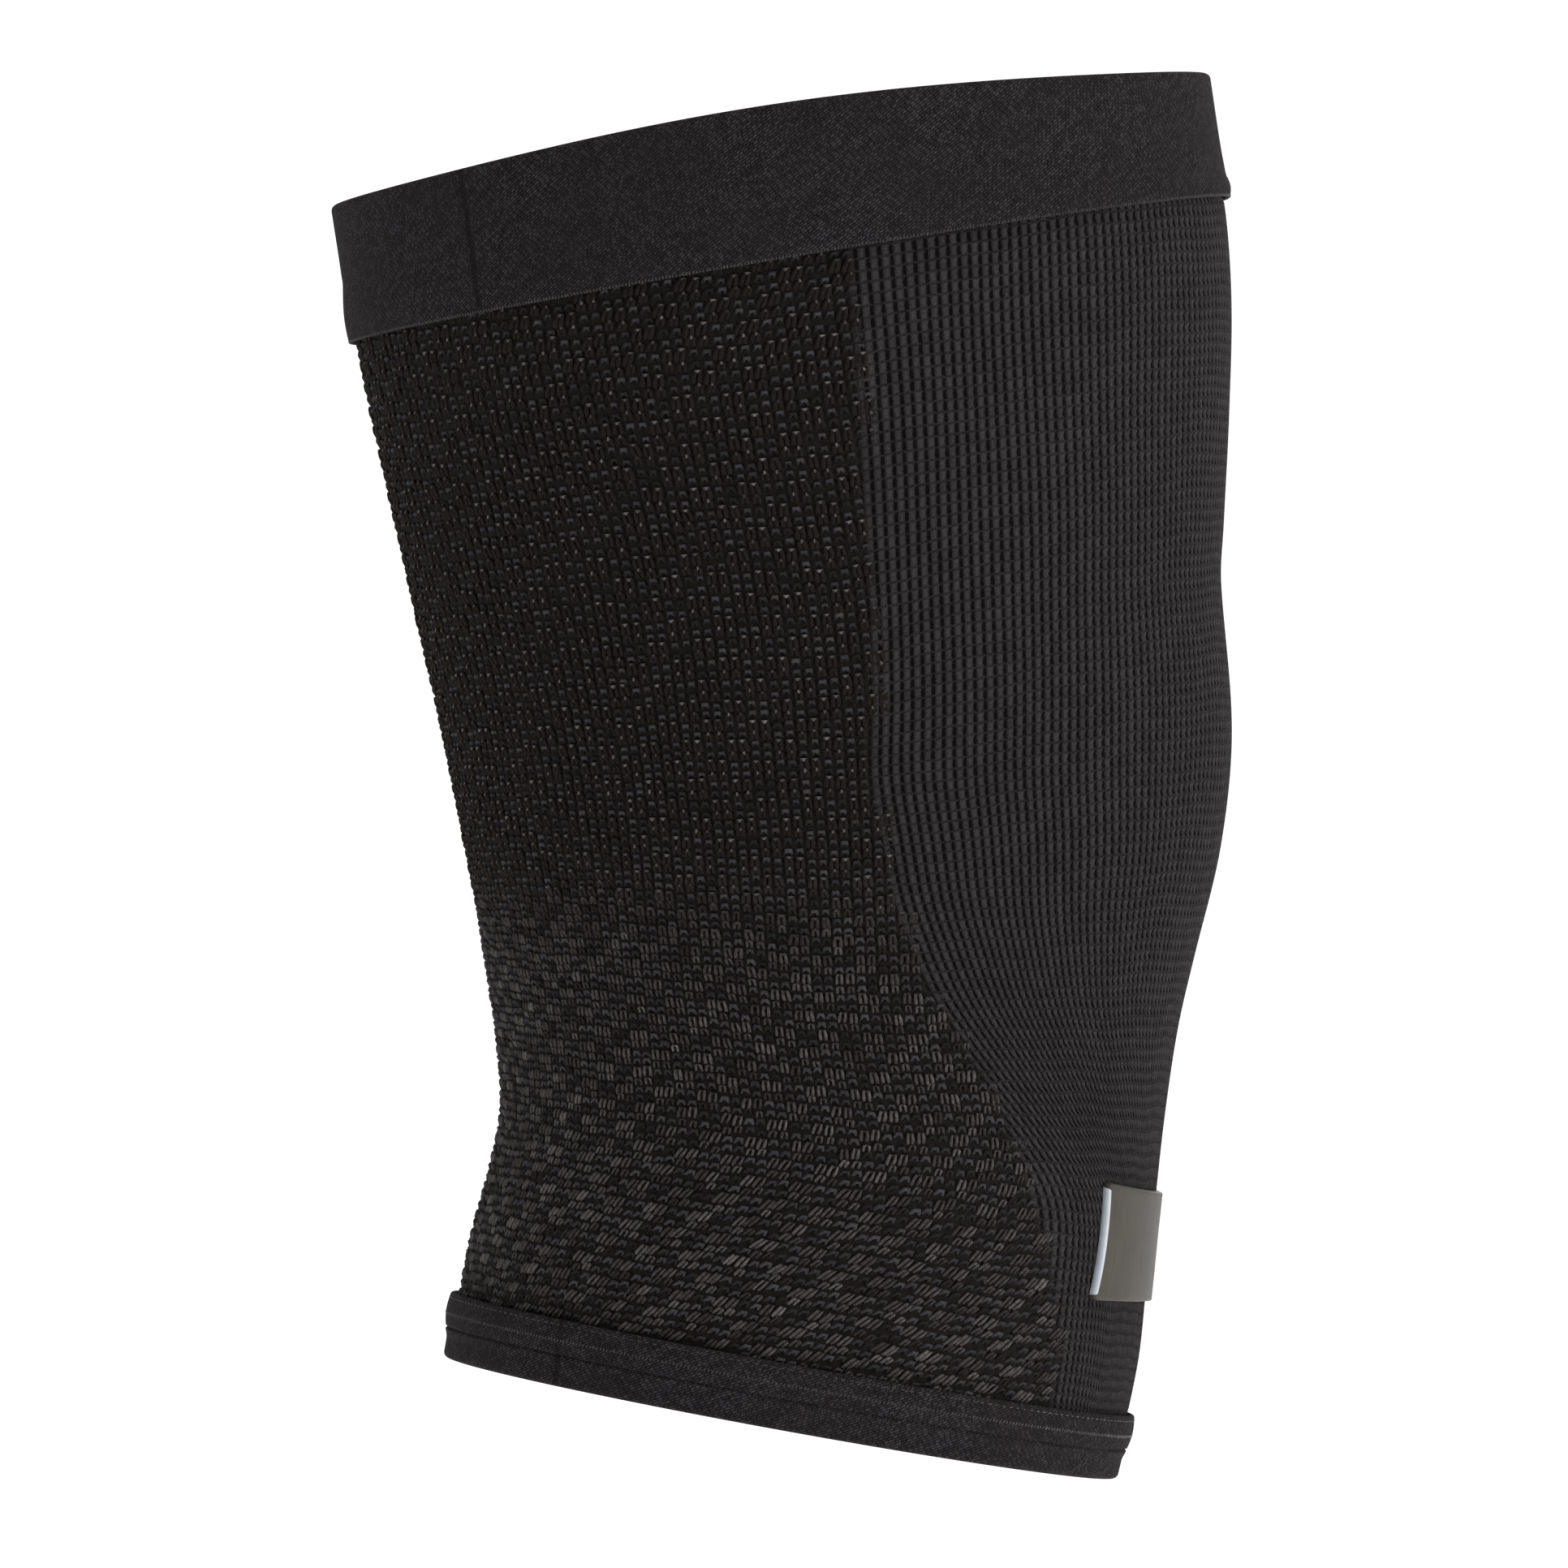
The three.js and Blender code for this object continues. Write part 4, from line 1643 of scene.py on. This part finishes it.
@dataclass(frozen=True)
class PhotoCamera:
    """The camera at the photograph's angle: level, looking square at the sleeve's outer side."""

    across: float = -11.83
    level: float = -4.9
    distance: float = 2660.0
    view_width: float = 262.75

    def build(self) -> bpy.types.Object:
        """Makes the camera, with its lens worked out from the width that it sees.

        Returns:
            The camera.
        """
        data = bpy.data.cameras.new("photo_camera")
        data.sensor_fit = "HORIZONTAL"
        data.lens = data.sensor_width * self.distance / self.view_width
        data.clip_start = 0.05
        data.clip_end = 100.0
        camera = bpy.data.objects.new("photo_camera", data)
        camera.location = (self.across * MM, -self.distance * MM, self.level * MM)
        camera.rotation_euler = (math.pi / 2.0, 0.0, 0.0)
        bpy.context.scene.collection.objects.link(camera)
        bpy.context.scene.camera = camera
        return camera


def main() -> None:
    """Builds the camera, the studio and every piece, and logs each piece."""
    logging.basicConfig(level=logging.INFO, format="%(name)s: %(message)s")
    form = LegForm()
    PhotoCamera().build()
    Studio().build()
    pieces = KnitBody(form, StitchGrid(form), StitchGrid(form, for_loops=True)).build(BAND_FORMS)
    for place, band in BAND_FORMS.items():
        pieces.append(ElasticBand(form, place, band).build())
    pieces.append(FrontTag(form).build())
    thread = ThreadFinish().material()
    thigh = BAND_FORMS[BandPlace.THIGH]
    shin = BAND_FORMS[BandPlace.SHIN]
    rows = (
        StitchRow(
            form, thigh, name="top_band_edge_stitches",
            count=760, length=0.6, slant=78.0, thread=0.10, from_edge=0.40, proud=1.24, tone=0.26,
        ),
        StitchRow(
            form, shin, name="bottom_band_edge_stitches",
            count=240, length=0.9, slant=4.0, thread=0.12, from_edge=0.9, proud=1.34, fade=58.0,
        ),
        StitchRow(
            form, shin, name="bottom_band_lap_stitches",
            count=520, length=0.8, slant=62.0, thread=0.17, from_edge=3.4, proud=1.5, fade=58.0,
        ),
    )
    for row in rows:
        pieces.append(row.build(thread))
    for piece in pieces:
        mesh = piece.data
        triangles = len(mesh.loops) - 2 * len(mesh.polygons)
        LOG.info("%s: %d triangles, finish %s", piece.name, triangles, mesh.materials[0].name)


if __name__ == "__main__":
    main()
